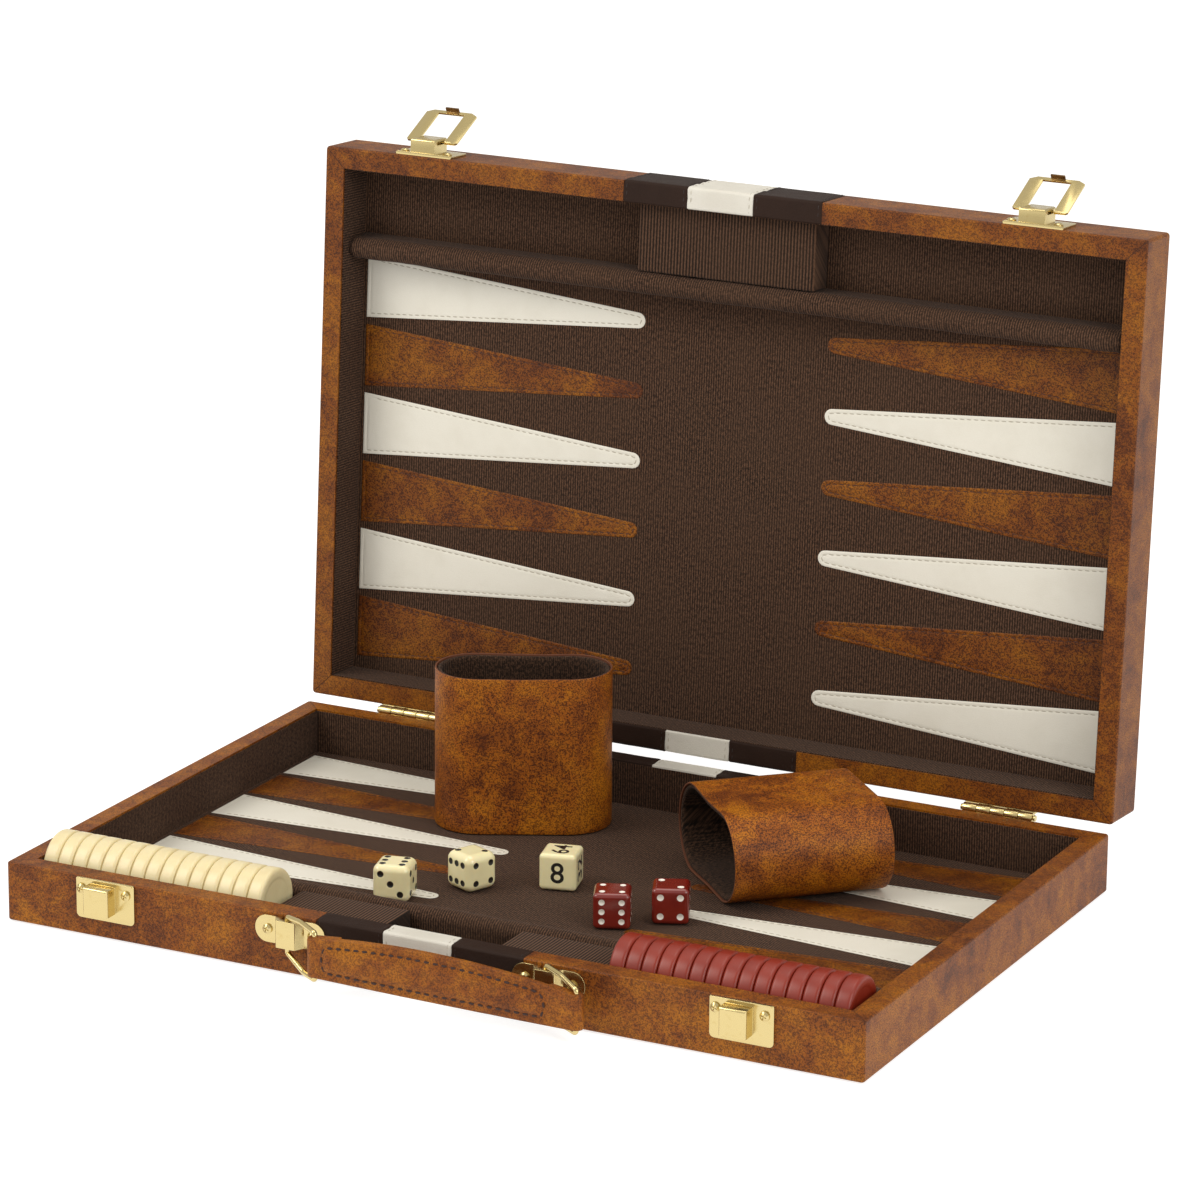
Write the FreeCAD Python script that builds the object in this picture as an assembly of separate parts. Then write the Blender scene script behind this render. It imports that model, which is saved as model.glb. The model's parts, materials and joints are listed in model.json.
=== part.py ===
import FreeCAD, Part
import math
import os

V = FreeCAD.Vector
os.makedirs("parts", exist_ok=True)

# ---------------------------------------------------------------- dimensions
# Millimetres. Origin: centre of the base underside. +X along the long side,
# +Y towards the hinges, +Z up. The lid is drawn closed, then opened to REST.
CASE_L = 380.0          # length of the case
CASE_W = 244.0          # width of the case
SHELL_H = 24.8          # height of the base, and of the lid
RIM_GAP = 0.6           # gap between the two rims when closed
WALL = 9.0              # wooden wall boards
LINING = 0.5            # fabric on the inside of the walls
BOTTOM = 3.0            # outer panel
FLOOR_Z = 5.2           # top of the fabric playing field
REST_OPEN = 93.7        # lid angle from closed at rest, degrees
PIN_BACK = 2.45         # hinge axis behind the back face

POINT_BASE_X = 178.5    # points start here
POINT_LEN = 135.7
POINT_W = 27.4
POINT_TIP_R = 3.4
POINT_PITCH = 30.5
POINT_Y0 = -59.1        # centre line of the first row of points
POINT_SUNK = 0.5        # let into the playing field
POINT_PROUD = 0.3

STRIPES = [(-46.0, -16.0), (-16.0, 14.4), (14.4, 46.0)]
SKIN = 0.4              # thickness of the stripe material

RAIL_Y0 = -83.1         # front edge of the padded rail
RAIL_W = 10.2
RAIL_TOP = 21.4
BLOCK_TOP = 20.0        # platforms beside the dice well
BLOCK_X = (25.0, 74.6)
LID_BLOCK_X = 41.0
LID_BLOCK_DEPTH = 6.0   # below the lid's rim

PLATE_X = (-142.75, 139.45)    # centre of each latch plate
PLATE_W = 27.0
PLATE_Z = (7.6, 24.5)
LID_PLATE_Z = (8.8, 24.3)
PLATE_T = 0.9
SCREW_DX = (-11.0, 9.7)
HOOD_DX = -1.15         # hood centre from plate centre
HOOD_W = 11.6
HOOD_Z = (11.3, 22.7)
HOOD_T = 0.7            # sheet thickness of the hood
HOOD_OUT = 6.9
LID_HOOD_OUT = 7.1
LATCH_PIVOT_OUT = 5.4   # rod in front of the front face
LATCH_PIVOT_UP = 10.8   # rod above the lid's rim, drawn back
LATCH_TRAVEL = 5.6      # the rod slides this far towards the rim
LATCH_R = 0.6
LOOP_W = 24.4
LOOP_WINDOW_W = 12.6
LOOP_END_IN = 19.5
LOOP_LEN = 21.4
LOOP_T = 0.9
LATCH_REST = 151.1      # loop angle from latched at rest, degrees

HINGE_X = 139.4
HINGE_LEN = 31.4
KNUCKLE_R = 2.2
PIN_R = 0.8
LEAF_T = 1.0
LEAF_H = 12.5

BRACKET_X = 57.3
BRACKET_Z = 17.7
BRACKET_L = 31.6
BRACKET_H = 11.3
RING_OUT = 2.9          # ring pivot in front of the front face
RING_LEN = 21.5
RING_WIRE = 2.2
RING_ANGLE = 60.0       # ring angle from straight out, towards +X, at rest
STRAP_ZL = (7.0, 23.2)   # strap at its left end
STRAP_ZR = (5.8, 20.0)   # strap at its right end
STRAP_MID_TOP = 26.0
STRAP_T = 3.4

CHECKER_D = 27.4
CHECKER_T = 6.7
CHECKER_PITCH = 6.8
CHECKER_Y = -97.7
CHECKER_X_LEFT = -180.0     # start of the cream row
CHECKER_X_RIGHT = 76.6      # start of the red row

PIECE_Z = 5.55          # dice and cups stand on the points and the field
CUP_L = 37.6            # half length of the oval
CUP_W = 19.2            # half width
CUP_H = 68.8
CUP_WALL = 2.2
CUP_LINING = 0.8
CUP_BOTTOM = 3.0
CUP1 = (-56.4, 71.9, 27.0)
CUP2 = (48.2, 33.5, 44.1)   # centre of the mouth, heading of the cup's axis

# name: x, y, turn, side, edge rounding
DICE = {
    "cream_die_1": (-57.8, -37.2, 14.0, 15.6, 3.0),
    "cream_die_2": (-36.2, -11.7, -23.0, 15.8, 3.6),
    "red_die_1": (34.8, -24.2, 24.0, 15.2, 2.0),
    "red_die_2": (53.0, -7.9, 24.0, 15.2, 2.0),
    "doubling_cube": (-4.6, 7.2, 14.6, 15.6, 1.8),
}

L2, W2 = CASE_L / 2, CASE_W / 2
MID_Z = SHELL_H + RIM_GAP / 2
PIN_Y = W2 + PIN_BACK


# ---------------------------------------------------------------- helpers
def box(x0, x1, y0, y1, z0, z1):
    return Part.makeBox(x1 - x0, y1 - y0, z1 - z0, V(x0, y0, z0))


def cyl(r, h, p, d=(0, 0, 1)):
    return Part.makeCylinder(r, h, V(*p), V(*d))


def prism(points, p0, direction):
    wire = Part.makePolygon([V(*p) for p in points] + [V(*points[0])])
    return Part.Face(wire).extrude(V(*direction))


def fuse(shapes):
    out = shapes[0]
    if len(shapes) > 1:
        out = out.multiFuse(shapes[1:])
    return out.removeSplitter()


def cut(shape, tools):
    for t in tools:
        shape = shape.cut(t)
    return shape


def fillet_where(shape, r, test):
    edges = [e for e in shape.Edges if test(e)]
    return shape.makeFillet(r, edges) if edges else shape


def along(e, axis):
    if len(e.Vertexes) != 2:
        return False
    d = e.Vertexes[1].Point.sub(e.Vertexes[0].Point)
    if d.Length < 1e-6:
        return False
    return abs(d.dot(V(*axis))) > 0.999 * d.Length


def mirror_lid(shape):
    """Base shape -> closed lid shape: reflected about the middle of the gap."""
    return shape.mirror(V(0, 0, MID_Z), V(0, 0, 1))


def open_lid(shape):
    s = shape.copy()
    s.rotate(V(0, PIN_Y, MID_Z), V(-1, 0, 0), REST_OPEN)
    return s


def solids(shape):
    return [s for s in shape.Solids]


def save(name, shape):
    items = shape if isinstance(shape, list) else [shape]
    out = []
    for s in items:
        out += s.Solids
    for s in out:
        if not s.isValid():
            print("INVALID", name)
    result = out[0] if len(out) == 1 else Part.makeCompound(out)
    result.exportStep("parts/%s.step" % name)
    bb = result.BoundBox
    print("%-24s solids %2d vol %9.1f  x %.1f..%.1f y %.1f..%.1f z %.1f..%.1f" % (
        name, len(out), result.Volume, bb.XMin, bb.XMax, bb.YMin, bb.YMax, bb.ZMin, bb.ZMax))


def save_lid(name, shape):
    items = shape if isinstance(shape, list) else [shape]
    save(name, [open_lid(s) for s in items])


# ---------------------------------------------------------------- the four walls
def stripe_boxes(x0, x1, grow=0.0):
    """The band of stripe material: up the front, over the rim, and underneath."""
    g = grow
    wi = WALL
    return [
        box(x0, x1, -W2 - g, -W2 + SKIN, 0.0 - g, SHELL_H + g),
        box(x0, x1, -W2 - g, -W2 + wi, SHELL_H - SKIN, SHELL_H + g),
        box(x0, x1, W2 - SKIN, W2 + g, 0.0 - g, SHELL_H + g),
        box(x0, x1, W2 - wi, W2 + g, SHELL_H - SKIN, SHELL_H + g),
        box(x0, x1, -W2 - g, W2 + g, 0.0 - g, SKIN),
    ]


def rounded_ring():
    outer = box(-L2, L2, -W2, W2, 0, SHELL_H)
    outer = fillet_where(outer, 1.6, lambda e: along(e, (0, 0, 1)))
    inner = box(-L2 + WALL, L2 - WALL, -W2 + WALL, W2 - WALL, -1, SHELL_H + 1)
    ring = outer.cut(inner)

    def horizontal_outer(e):
        c = e.BoundBox
        flat = abs(c.ZMax - c.ZMin) < 1e-6
        at_end = abs(c.ZMax - SHELL_H) < 1e-6 or abs(c.ZMin) < 1e-6
        far = max(abs(c.XMin), abs(c.XMax)) > L2 - 2 or max(abs(c.YMin), abs(c.YMax)) > W2 - 2
        inner_edge = (abs(c.XMin) <= L2 - WALL + 1e-6 and abs(c.XMax) <= L2 - WALL + 1e-6
                      and abs(c.YMin) <= W2 - WALL + 1e-6 and abs(c.YMax) <= W2 - WALL + 1e-6)
        return flat and at_end and far and not inner_edge

    ring = fillet_where(ring, 0.9, horizontal_outer)
    return ring


def wall_boards(ring):
    k = 1.0
    boards = {}
    zc = (-5, SHELL_H + 5)
    # mitred at 45 degrees: each board is the ring inside its own wedge
    li, wi = L2 - WALL, W2 - WALL
    far = 40
    wedges = {
        "front": [(-li, -wi), (-li - far, -wi - far), (li + far, -wi - far), (li, -wi)],
        "back": [(-li, wi), (li, wi), (li + far, wi + far), (-li - far, wi + far)],
        "left": [(-li, -wi), (-li, wi), (-li - far, wi + far), (-li - far, -wi - far)],
        "right": [(li, -wi), (li + far, -wi - far), (li + far, wi + far), (li, wi)],
    }
    for n, pts in wedges.items():
        p = prism([(x, y, zc[0]) for x, y in pts], None, (0, 0, zc[1] - zc[0]))
        boards[n] = ring.common(p)
    return boards


ring = rounded_ring()
stripe_cut = fuse(stripe_boxes(STRIPES[0][0], STRIPES[2][1], 2.0))
raw_boards = wall_boards(ring)
panel = box(-L2 + WALL, L2 - WALL, -W2 + WALL, W2 - WALL, 0, BOTTOM)


def stripe_skin(x0, x1):
    """What the stripe boxes take out of the rounded outer form."""
    solid = fuse([ring, panel])
    band = fuse(stripe_boxes(x0, x1, 2.0))
    return solid.common(band)


dark = [stripe_skin(*STRIPES[0]), stripe_skin(*STRIPES[2])]
white = [stripe_skin(*STRIPES[1])]

# screw positions on the shells: (x, z) on the front face, y = -W2
KEEPER_SCREWS = [(cx + dx, 20.0) for cx in PLATE_X for dx in SCREW_DX]
BRACKET_SCREWS = [(s * BRACKET_X + dx, BRACKET_Z) for s in (-1, 1) for dx in (-10.2, 10.2)]
HINGE_SCREWS = [(s * HINGE_X + dx, MID_Z - 7.6) for s in (-1, 1) for dx in (-10.5, 0.0, 10.5)]
SCREW_R, SCREW_HEAD_R, SCREW_LEN = 1.0, 2.0, 6.5


def front_screw(x, z, y_face):
    """Pan head screw, cross recess, pointing into the case along +Y."""
    head = Part.makeCylinder(SCREW_HEAD_R, 0.55, V(x, y_face - 0.55, z), V(0, 1, 0))
    dome = Part.makeCone(SCREW_HEAD_R, SCREW_HEAD_R * 0.55, 0.6, V(x, y_face - 0.55, z), V(0, -1, 0))
    shank = Part.makeCylinder(SCREW_R, SCREW_LEN, V(x, y_face, z), V(0, 1, 0))
    s = fuse([head, dome, shank])
    y0 = y_face - 1.2
    for a in (20.0, 110.0):
        slot = box(x - 1.15, x + 1.15, y0, y0 + 0.6, z - 0.22, z + 0.22)
        slot.rotate(V(x, y0, z), V(0, 1, 0), a)
        s = s.cut(slot)
    return s


def back_screw(x, z, y_face):
    s = front_screw(x, z, y_face)
    s.rotate(V(x, y_face, z), V(0, 0, 1), 180)
    return s


def front_holes(where, r, depth=8.0):
    return [Part.makeCylinder(r, depth, V(x, -W2 - 3, z), V(0, 1, 0)) for x, z in where]


def back_holes(where, r, depth=8.0):
    return [Part.makeCylinder(r, depth, V(x, W2 + 3, z), V(0, -1, 0)) for x, z in where]


wood_hole = SCREW_R + 0.05
hole_len = 3 + SCREW_LEN + 0.8
base_boards = {n: b.cut(stripe_cut) for n, b in raw_boards.items()}
front_all = front_holes(KEEPER_SCREWS + BRACKET_SCREWS, wood_hole, hole_len)
base_boards["front"] = cut(base_boards["front"], front_all)
base_boards["back"] = cut(base_boards["back"], back_holes(HINGE_SCREWS, wood_hole, hole_len))
for n, b in base_boards.items():
    save("base_wall_" + n, b)
lid_boards = {n: b.cut(stripe_cut) for n, b in raw_boards.items()}
lid_boards["front"] = cut(lid_boards["front"], front_holes(KEEPER_SCREWS, wood_hole, hole_len))
lid_boards["back"] = cut(lid_boards["back"], back_holes(HINGE_SCREWS, wood_hole, hole_len))
for n, b in lid_boards.items():
    save_lid("lid_wall_" + n, mirror_lid(b))

panel_cut = panel.cut(stripe_cut)
save("base_bottom_panel", panel_cut)
save_lid("lid_top_panel", mirror_lid(panel_cut))
save("base_stripes_dark", dark)
save("base_stripe_white", white)
save_lid("lid_stripes_dark", [mirror_lid(s) for s in dark])
save_lid("lid_stripe_white", [mirror_lid(s) for s in white])


# ---------------------------------------------------------------- playing field and points
def point_shape(side, yc, z0, z1):
    """Long triangle with a rounded tip; side is -1 (left) or +1 (right)."""
    r, half = POINT_TIP_R, POINT_W / 2
    xt = POINT_LEN - r                       # centre of the tip's arc, from the base edge
    d = math.hypot(xt, half)
    phi = math.atan2(half, xt)
    beta = math.acos(r / d)
    # tangent point on the upper side
    ang = math.pi - phi - beta
    tx, ty = xt + r * math.cos(ang), r * math.sin(ang)

    def P(u, v, z=z0):
        return V(side * (POINT_BASE_X - u), yc + v, z)

    a, b = P(0, half), P(tx, ty)
    tip, c, d0 = P(POINT_LEN, 0), P(tx, -ty), P(0, -half)
    wire = Part.Wire([
        Part.LineSegment(a, b).toShape(),
        Part.Arc(b, tip, c).toShape(),
        Part.LineSegment(c, d0).toShape(),
        Part.LineSegment(d0, a).toShape(),
    ])
    return Part.Face(wire).extrude(V(0, 0, z1 - z0))


ROWS = [POINT_Y0 + POINT_PITCH * k for k in range(6)]
pz0, pz1 = FLOOR_Z - POINT_SUNK, FLOOR_Z + POINT_PROUD
# front to back on each half; w = white
BASE_LEFT, BASE_RIGHT = "bwbwbw", "wbwbwb"
LID_LEFT, LID_RIGHT = "wbwbwb", "bwbwbw"


def points(left, right, colour):
    out = []
    for k, yc in enumerate(ROWS):
        if left[k] == colour:
            out.append(point_shape(-1, yc, pz0, pz1))
        if right[k] == colour:
            out.append(point_shape(1, yc, pz0, pz1))
    return out


g = 0.02
field = box(-L2 + WALL + g, L2 - WALL - g, -W2 + WALL + g, W2 - WALL - g, BOTTOM, FLOOR_Z)
pockets = [point_shape(s, yc, pz0, FLOOR_Z + 1) for s in (-1, 1) for yc in ROWS]
field = field.cut(Part.makeCompound(pockets))
save("base_playfield", field)
save_lid("lid_playfield", mirror_lid(field))
save("base_points_white", points(BASE_LEFT, BASE_RIGHT, "w"))
save("base_points_brown", points(BASE_LEFT, BASE_RIGHT, "b"))
save_lid("lid_points_white", [mirror_lid(s) for s in points(LID_LEFT, LID_RIGHT, "w")])
save_lid("lid_points_brown", [mirror_lid(s) for s in points(LID_LEFT, LID_RIGHT, "b")])

li, wi = L2 - WALL, W2 - WALL
lining = box(-li, li, -wi, wi, FLOOR_Z, SHELL_H - 0.9).cut(
    box(-li + LINING, li - LINING, -wi + LINING, wi - LINING, FLOOR_Z - 1, SHELL_H + 1))
save("base_lining", lining)
save_lid("lid_lining", mirror_lid(lining))

# padded rail: straight sides and a half-round top
xi = li - LINING
yr0, yr1 = RAIL_Y0, RAIL_Y0 + RAIL_W
shoulder = RAIL_TOP - 5.0


def rail_solid():
    a, b = V(-xi, yr0, FLOOR_Z), V(-xi, yr0, shoulder)
    top = V(-xi, (yr0 + yr1) / 2, RAIL_TOP)
    c, d = V(-xi, yr1, shoulder), V(-xi, yr1, FLOOR_Z)
    wire = Part.Wire([
        Part.LineSegment(a, b).toShape(), Part.Arc(b, top, c).toShape(),
        Part.LineSegment(c, d).toShape(), Part.LineSegment(d, a).toShape()])
    return Part.Face(wire).extrude(V(2 * xi, 0, 0))


rail = rail_solid()
save("base_rail", rail)
save_lid("lid_rail", mirror_lid(rail))

ly = -wi + LINING
blocks = [box(s * (BLOCK_X[0] if s > 0 else BLOCK_X[1]), s * (BLOCK_X[1] if s > 0 else BLOCK_X[0]),
              ly, yr0, FLOOR_Z, BLOCK_TOP) for s in (-1, 1)]
blocks = [fillet_where(b, 1.0, lambda e: along(e, (0, 1, 0)) and e.BoundBox.ZMin > BLOCK_TOP - 0.1) for b in blocks]
save("base_gutter_blocks", blocks)
lid_block = box(-LID_BLOCK_X, LID_BLOCK_X, ly, yr0, FLOOR_Z, SHELL_H - LID_BLOCK_DEPTH)
lid_block = fillet_where(lid_block, 1.0, lambda e: along(e, (0, 1, 0)) and e.BoundBox.ZMin > SHELL_H - LID_BLOCK_DEPTH - 0.1)
save_lid("lid_gutter_block", mirror_lid(lid_block))


# ---------------------------------------------------------------- latches
def latch_plate(cx, zs, hood_out, slotted):
    z0, z1 = zs
    hx = cx + HOOD_DX
    plate = box(cx - PLATE_W / 2, cx + PLATE_W / 2, -W2 - PLATE_T, -W2, z0, z1)
    plate = fillet_where(plate, 2.0, lambda e: along(e, (0, 1, 0)) and e.BoundBox.ZMin < z0 + 0.1)
    plate = fillet_where(plate, 0.8, lambda e: along(e, (0, 1, 0)) and e.BoundBox.ZMax > z1 - 0.1)
    lip = box(cx - PLATE_W / 2 + 0.8, cx + PLATE_W / 2 - 0.8, -W2 - PLATE_T - 0.5, -W2 - PLATE_T + 0.1, z1 - 0.7, z1)
    hood = box(hx - HOOD_W / 2, hx + HOOD_W / 2, -W2 - hood_out, -W2 - PLATE_T + 0.1, HOOD_Z[0], HOOD_Z[1])
    hood = fillet_where(hood, 1.0, lambda e: e.BoundBox.YMax < -W2 - hood_out + 0.01 and e.BoundBox.ZMax > HOOD_Z[0] + 0.1)
    body = fuse([plate, lip, hood])
    # the hood is a hollow box, open away from the rim
    pocket = box(hx - HOOD_W / 2 + 0.9, hx + HOOD_W / 2 - 0.9, -W2 - hood_out + HOOD_T, -W2 - PLATE_T,
                 HOOD_Z[0] - 1.0, HOOD_Z[1] - HOOD_T)
    body = body.cut(pocket)
    body = cut(body, [cyl(SCREW_R + 0.15, 8, (x, -W2 - 4, z), (0, 1, 0)) for x, z in KEEPER_SCREWS
                      if abs(x - cx) < 15])
    if slotted:
        # a slot in each side of the hood, in which the rod slides
        r = LATCH_R + 0.06
        za, zb = SHELL_H - LATCH_PIVOT_UP, SHELL_H - LATCH_PIVOT_UP + LATCH_TRAVEL
        x0, y0 = hx - HOOD_W / 2 - 2, -W2 - LATCH_PIVOT_OUT
        body = cut(body, [cyl(r, HOOD_W + 4, (x0, y0, za), (1, 0, 0)), cyl(r, HOOD_W + 4, (x0, y0, zb), (1, 0, 0)),
                          box(x0, x0 + HOOD_W + 4, y0 - r, y0 + r, za, zb)])
    return body


for side, px in zip(("left", "right"), PLATE_X):
    save("keeper_" + side, latch_plate(px, PLATE_Z, HOOD_OUT, False))
    save_lid("latch_plate_" + side, mirror_lid(latch_plate(px, LID_PLATE_Z, LID_HOOD_OUT, True)))
save("keeper_screws", [front_screw(x, z, -W2 - PLATE_T) for x, z in KEEPER_SCREWS])
save_lid("latch_screws", [mirror_lid(front_screw(x, z, -W2 - PLATE_T)) for x, z in KEEPER_SCREWS])


def latch_slider(hx):
    """Block inside the lid's hood that carries the rod."""
    zp = SHELL_H + RIM_GAP + LATCH_PIVOT_UP
    yp = -W2 - LATCH_PIVOT_OUT
    b = box(hx - 4.7, hx + 4.7, yp - 0.95, yp + 2.2, zp - 2.2, zp + 2.2)
    b = fillet_where(b, 0.8, lambda e: along(e, (1, 0, 0)) and e.BoundBox.YMin > yp + 2.1)
    return b.cut(cyl(LATCH_R + 0.05, 12, (hx - 6, yp, zp), (1, 0, 0)))


def latch_loop(cx):
    """Closed-case position: hangs from the lid's hood; rod drawn back."""
    zp = SHELL_H + RIM_GAP + LATCH_PIVOT_UP
    yp = -W2 - LATCH_PIVOT_OUT
    w, ww, t = LOOP_W / 2, LOOP_WINDOW_W / 2, LOOP_T / 2
    zt, zb = zp + 1.0, zp - LOOP_LEN
    ca, cb = 3.1, 1.8
    outline = [(cx - w + 0.8, yp - t, zt), (cx + w - 0.8, yp - t, zt), (cx + w, yp - t, zt - 0.8),
               (cx + w, yp - t, zb + cb), (cx + w - ca, yp - t, zb), (cx - w + ca, yp - t, zb),
               (cx - w, yp - t, zb + cb), (cx - w, yp - t, zt - 0.8)]
    frame = prism(outline, None, (0, LOOP_T, 0))
    window = box(cx - ww, cx + ww, yp - 2, yp + 2, zp - LOOP_END_IN, zt + 3)
    frame = frame.cut(window)
    rod = cyl(LATCH_R, 2 * w - 6.0, (cx - w + 3.0, yp, zp), (1, 0, 0))
    # catch at the free end, bent inwards; it lies under the keeper's hood when latched
    tab = box(cx - 3.15, cx + 3.15, yp - t, yp + t + 2.0, zb, zb + 0.7)
    loop = fuse([frame, rod, tab])
    loop.rotate(V(cx, yp, zp), V(-1, 0, 0), LATCH_REST)
    return loop


for side, px in zip(("left", "right"), PLATE_X):
    save_lid("latch_loop_" + side, latch_loop(px + HOOD_DX))
    save_lid("latch_slider_" + side, latch_slider(px + HOOD_DX))


# ---------------------------------------------------------------- hinges
def hinge_leaf(cx, mine):
    """Base leaf, below the gap. mine: which of the five knuckles it carries."""
    x0, x1 = cx - HINGE_LEN / 2, cx + HINGE_LEN / 2
    leaf = box(x0, x1, W2, W2 + LEAF_T, MID_Z - LEAF_H, MID_Z - 1.0)
    leaf = fillet_where(leaf, 1.5, lambda e: along(e, (0, 1, 0)) and e.BoundBox.ZMax < MID_Z - LEAF_H + 0.1)
    seg = HINGE_LEN / 5
    gap = 0.12
    out = leaf
    for k in range(5):
        a, b = x0 + seg * k + gap, x0 + seg * (k + 1) - gap
        if k in mine:
            barrel = cyl(KNUCKLE_R, b - a, (a, PIN_Y, MID_Z), (1, 0, 0))
            wrap = prism([(a, W2, MID_Z - 1.2), (a, W2 + LEAF_T, MID_Z - 3.4), (a, PIN_Y + 0.6, MID_Z - 2.05),
                          (a, PIN_Y - 1.9, MID_Z - 0.5)], None, (b - a, 0, 0))
            out = out.fuse(barrel).fuse(wrap)
        else:
            clear = cyl(KNUCKLE_R + 0.25, b - a + 2 * gap, (a - gap, PIN_Y, MID_Z), (1, 0, 0))
            out = out.cut(clear)
    for k in range(5):
        a = x0 + seg * k
        if k not in mine:
            out = out.cut(cyl(KNUCKLE_R + 0.25, seg, (a, PIN_Y, MID_Z), (1, 0, 0)))
    out = out.removeSplitter()
    out = out.cut(cyl(PIN_R + 0.05, HINGE_LEN + 4, (x0 - 2, PIN_Y, MID_Z), (1, 0, 0)))
    out = cut(out, [cyl(SCREW_R + 0.15, 8, (x, W2 + 4, z), (0, -1, 0)) for x, z in HINGE_SCREWS if abs(x - cx) < 17])
    return out


for side, s in (("left", -1), ("right", 1)):
    save("hinge_leaf_base_" + side, hinge_leaf(s * HINGE_X, (0, 2, 4)))
    save_lid("hinge_leaf_lid_" + side, mirror_lid(hinge_leaf(s * HINGE_X, (1, 3))))


def hinge_screw(x, z):
    s = back_screw(x, z, W2 + LEAF_T)
    return s


save("hinge_screws_base", [hinge_screw(x, z) for x, z in HINGE_SCREWS])
save_lid("hinge_screws_lid", [mirror_lid(hinge_screw(x, z)) for x, z in HINGE_SCREWS])
pins = []
for s in (-1, 1):
    x0 = s * HINGE_X - HINGE_LEN / 2
    shaft = cyl(PIN_R, HINGE_LEN + 1.6, (x0 - 0.8, PIN_Y, MID_Z), (1, 0, 0))
    heads = [cyl(1.3, 0.7, (x0 - 1.0, PIN_Y, MID_Z), (1, 0, 0)), cyl(1.3, 0.7, (x0 + HINGE_LEN + 0.3, PIN_Y, MID_Z), (1, 0, 0))]
    pins.append(fuse([shaft] + heads))
save("hinge_pins", pins)


# ---------------------------------------------------------------- carrying handle
def bracket(cx):
    """Flat strip with rounded ends, raised in the middle over the ring's wire."""
    y0 = -W2
    h = BRACKET_H / 2
    lobes = box(cx - BRACKET_L / 2, cx + BRACKET_L / 2, y0 - 1.0, y0, BRACKET_Z - h, BRACKET_Z + h)
    lobes = fillet_where(lobes, h - 0.2, lambda e: along(e, (0, 1, 0)))
    saddle = prism([(cx - 6.4, y0 - 1.0, BRACKET_Z - h), (cx - 4.2, y0 - 5.2, BRACKET_Z - h),
                    (cx + 4.2, y0 - 5.2, BRACKET_Z - h), (cx + 6.4, y0 - 1.0, BRACKET_Z - h),
                    (cx + 6.4, y0, BRACKET_Z - h), (cx - 6.4, y0, BRACKET_Z - h)], None, (0, 0, 2 * h))
    saddle = fillet_where(saddle, 1.2, lambda e: along(e, (0, 0, 1)) and e.BoundBox.YMax < y0 - 5)
    body = fuse([lobes, saddle])
    # hollow of the raised part: the wire lies in it
    body = body.cut(box(cx - 3.2, cx + 3.2, y0 - RING_OUT, y0 + 1, BRACKET_Z - h - 1, BRACKET_Z + h + 1))
    body = body.cut(cyl(RING_WIRE / 2 + 0.05, 2 * h + 2, (cx, y0 - RING_OUT, BRACKET_Z - h - 1)))
    body = cut(body, [cyl(SCREW_R + 0.15, 8, (x, y0 - 4, z), (0, 1, 0)) for x, z in BRACKET_SCREWS
                      if abs(x - cx) < 15])
    return body


save("handle_bracket_left", bracket(-BRACKET_X))
save("handle_bracket_right", bracket(BRACKET_X))
save("bracket_screws", [front_screw(x, z, -W2 - 1.0) for x, z in BRACKET_SCREWS])


def wire_loop(corners, radii, r):
    """A closed bent-wire ring through corners, each rounded to its radius."""
    n = len(corners)
    starts, ends, arcs = [], [], []
    for i in range(n):
        p, a, b = corners[i], corners[i - 1], corners[(i + 1) % n]
        u = a.sub(p).normalize() if False else V((a.sub(p)).x, (a.sub(p)).y, (a.sub(p)).z)
        w = V((b.sub(p)).x, (b.sub(p)).y, (b.sub(p)).z)
        u.normalize()
        w.normalize()
        half = math.acos(max(-1, min(1, u.dot(w)))) / 2
        t = radii[i] / math.tan(half)
        s, e = p + u * t, p + w * t
        bis = (u + w)
        bis.normalize()
        c = p + bis * (radii[i] / math.sin(half))
        m = c - bis * radii[i]
        arcs.append((s, m, e))
    pieces = []
    for i in range(n):
        s, m, e = arcs[i]
        arc = Part.Arc(s, m, e).toShape()
        tan = arc.tangentAt(arc.FirstParameter)
        circ = Part.Face(Part.Wire(Part.makeCircle(r, s, tan)))
        pieces.append(Part.Wire([arc]).makePipe(circ))
        nxt = arcs[(i + 1) % n][0]
        d = nxt.sub(e)
        pieces.append(Part.makeCylinder(r, d.Length, e, d))
    return fuse([p if p.ShapeType == "Solid" else p.Solids[0] for p in pieces])


def ring_at(cx, zs):
    """D ring: straight wire in the bracket, bowed arms, straight wire in the strap."""
    r = RING_WIRE / 2
    top_in, bot_in = BRACKET_Z + BRACKET_H / 2 + 0.3, BRACKET_Z - BRACKET_H / 2 - 1.1
    a = math.radians(RING_ANGLE)
    dx, dy = RING_LEN * math.sin(a), -RING_LEN * math.cos(a)
    y0 = -W2 - RING_OUT
    zt, zb = top_in + r, bot_in - r
    oz0, oz1 = zs[0] - 0.65 - r, zs[1] + 0.45 + r

    def at(t, z):
        return V(cx + dx * t, y0 + dy * t, z)

    corners = [at(0, zb), at(0, zt), at(0.5, (zt + oz1) / 2 + 1.1), at(1, oz1), at(1, oz0), at(0.6, oz0 + 0.3)]
    return wire_loop(corners, [1.2, 1.2, 9.0, 1.4, 1.4, 7.0], r), (cx + dx, y0 + dy)


ring_l, bar_l = ring_at(-BRACKET_X, STRAP_ZL)
ring_r, bar_r = ring_at(BRACKET_X, STRAP_ZR)
save("handle_ring_left", ring_l)
save("handle_ring_right", ring_r)


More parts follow.
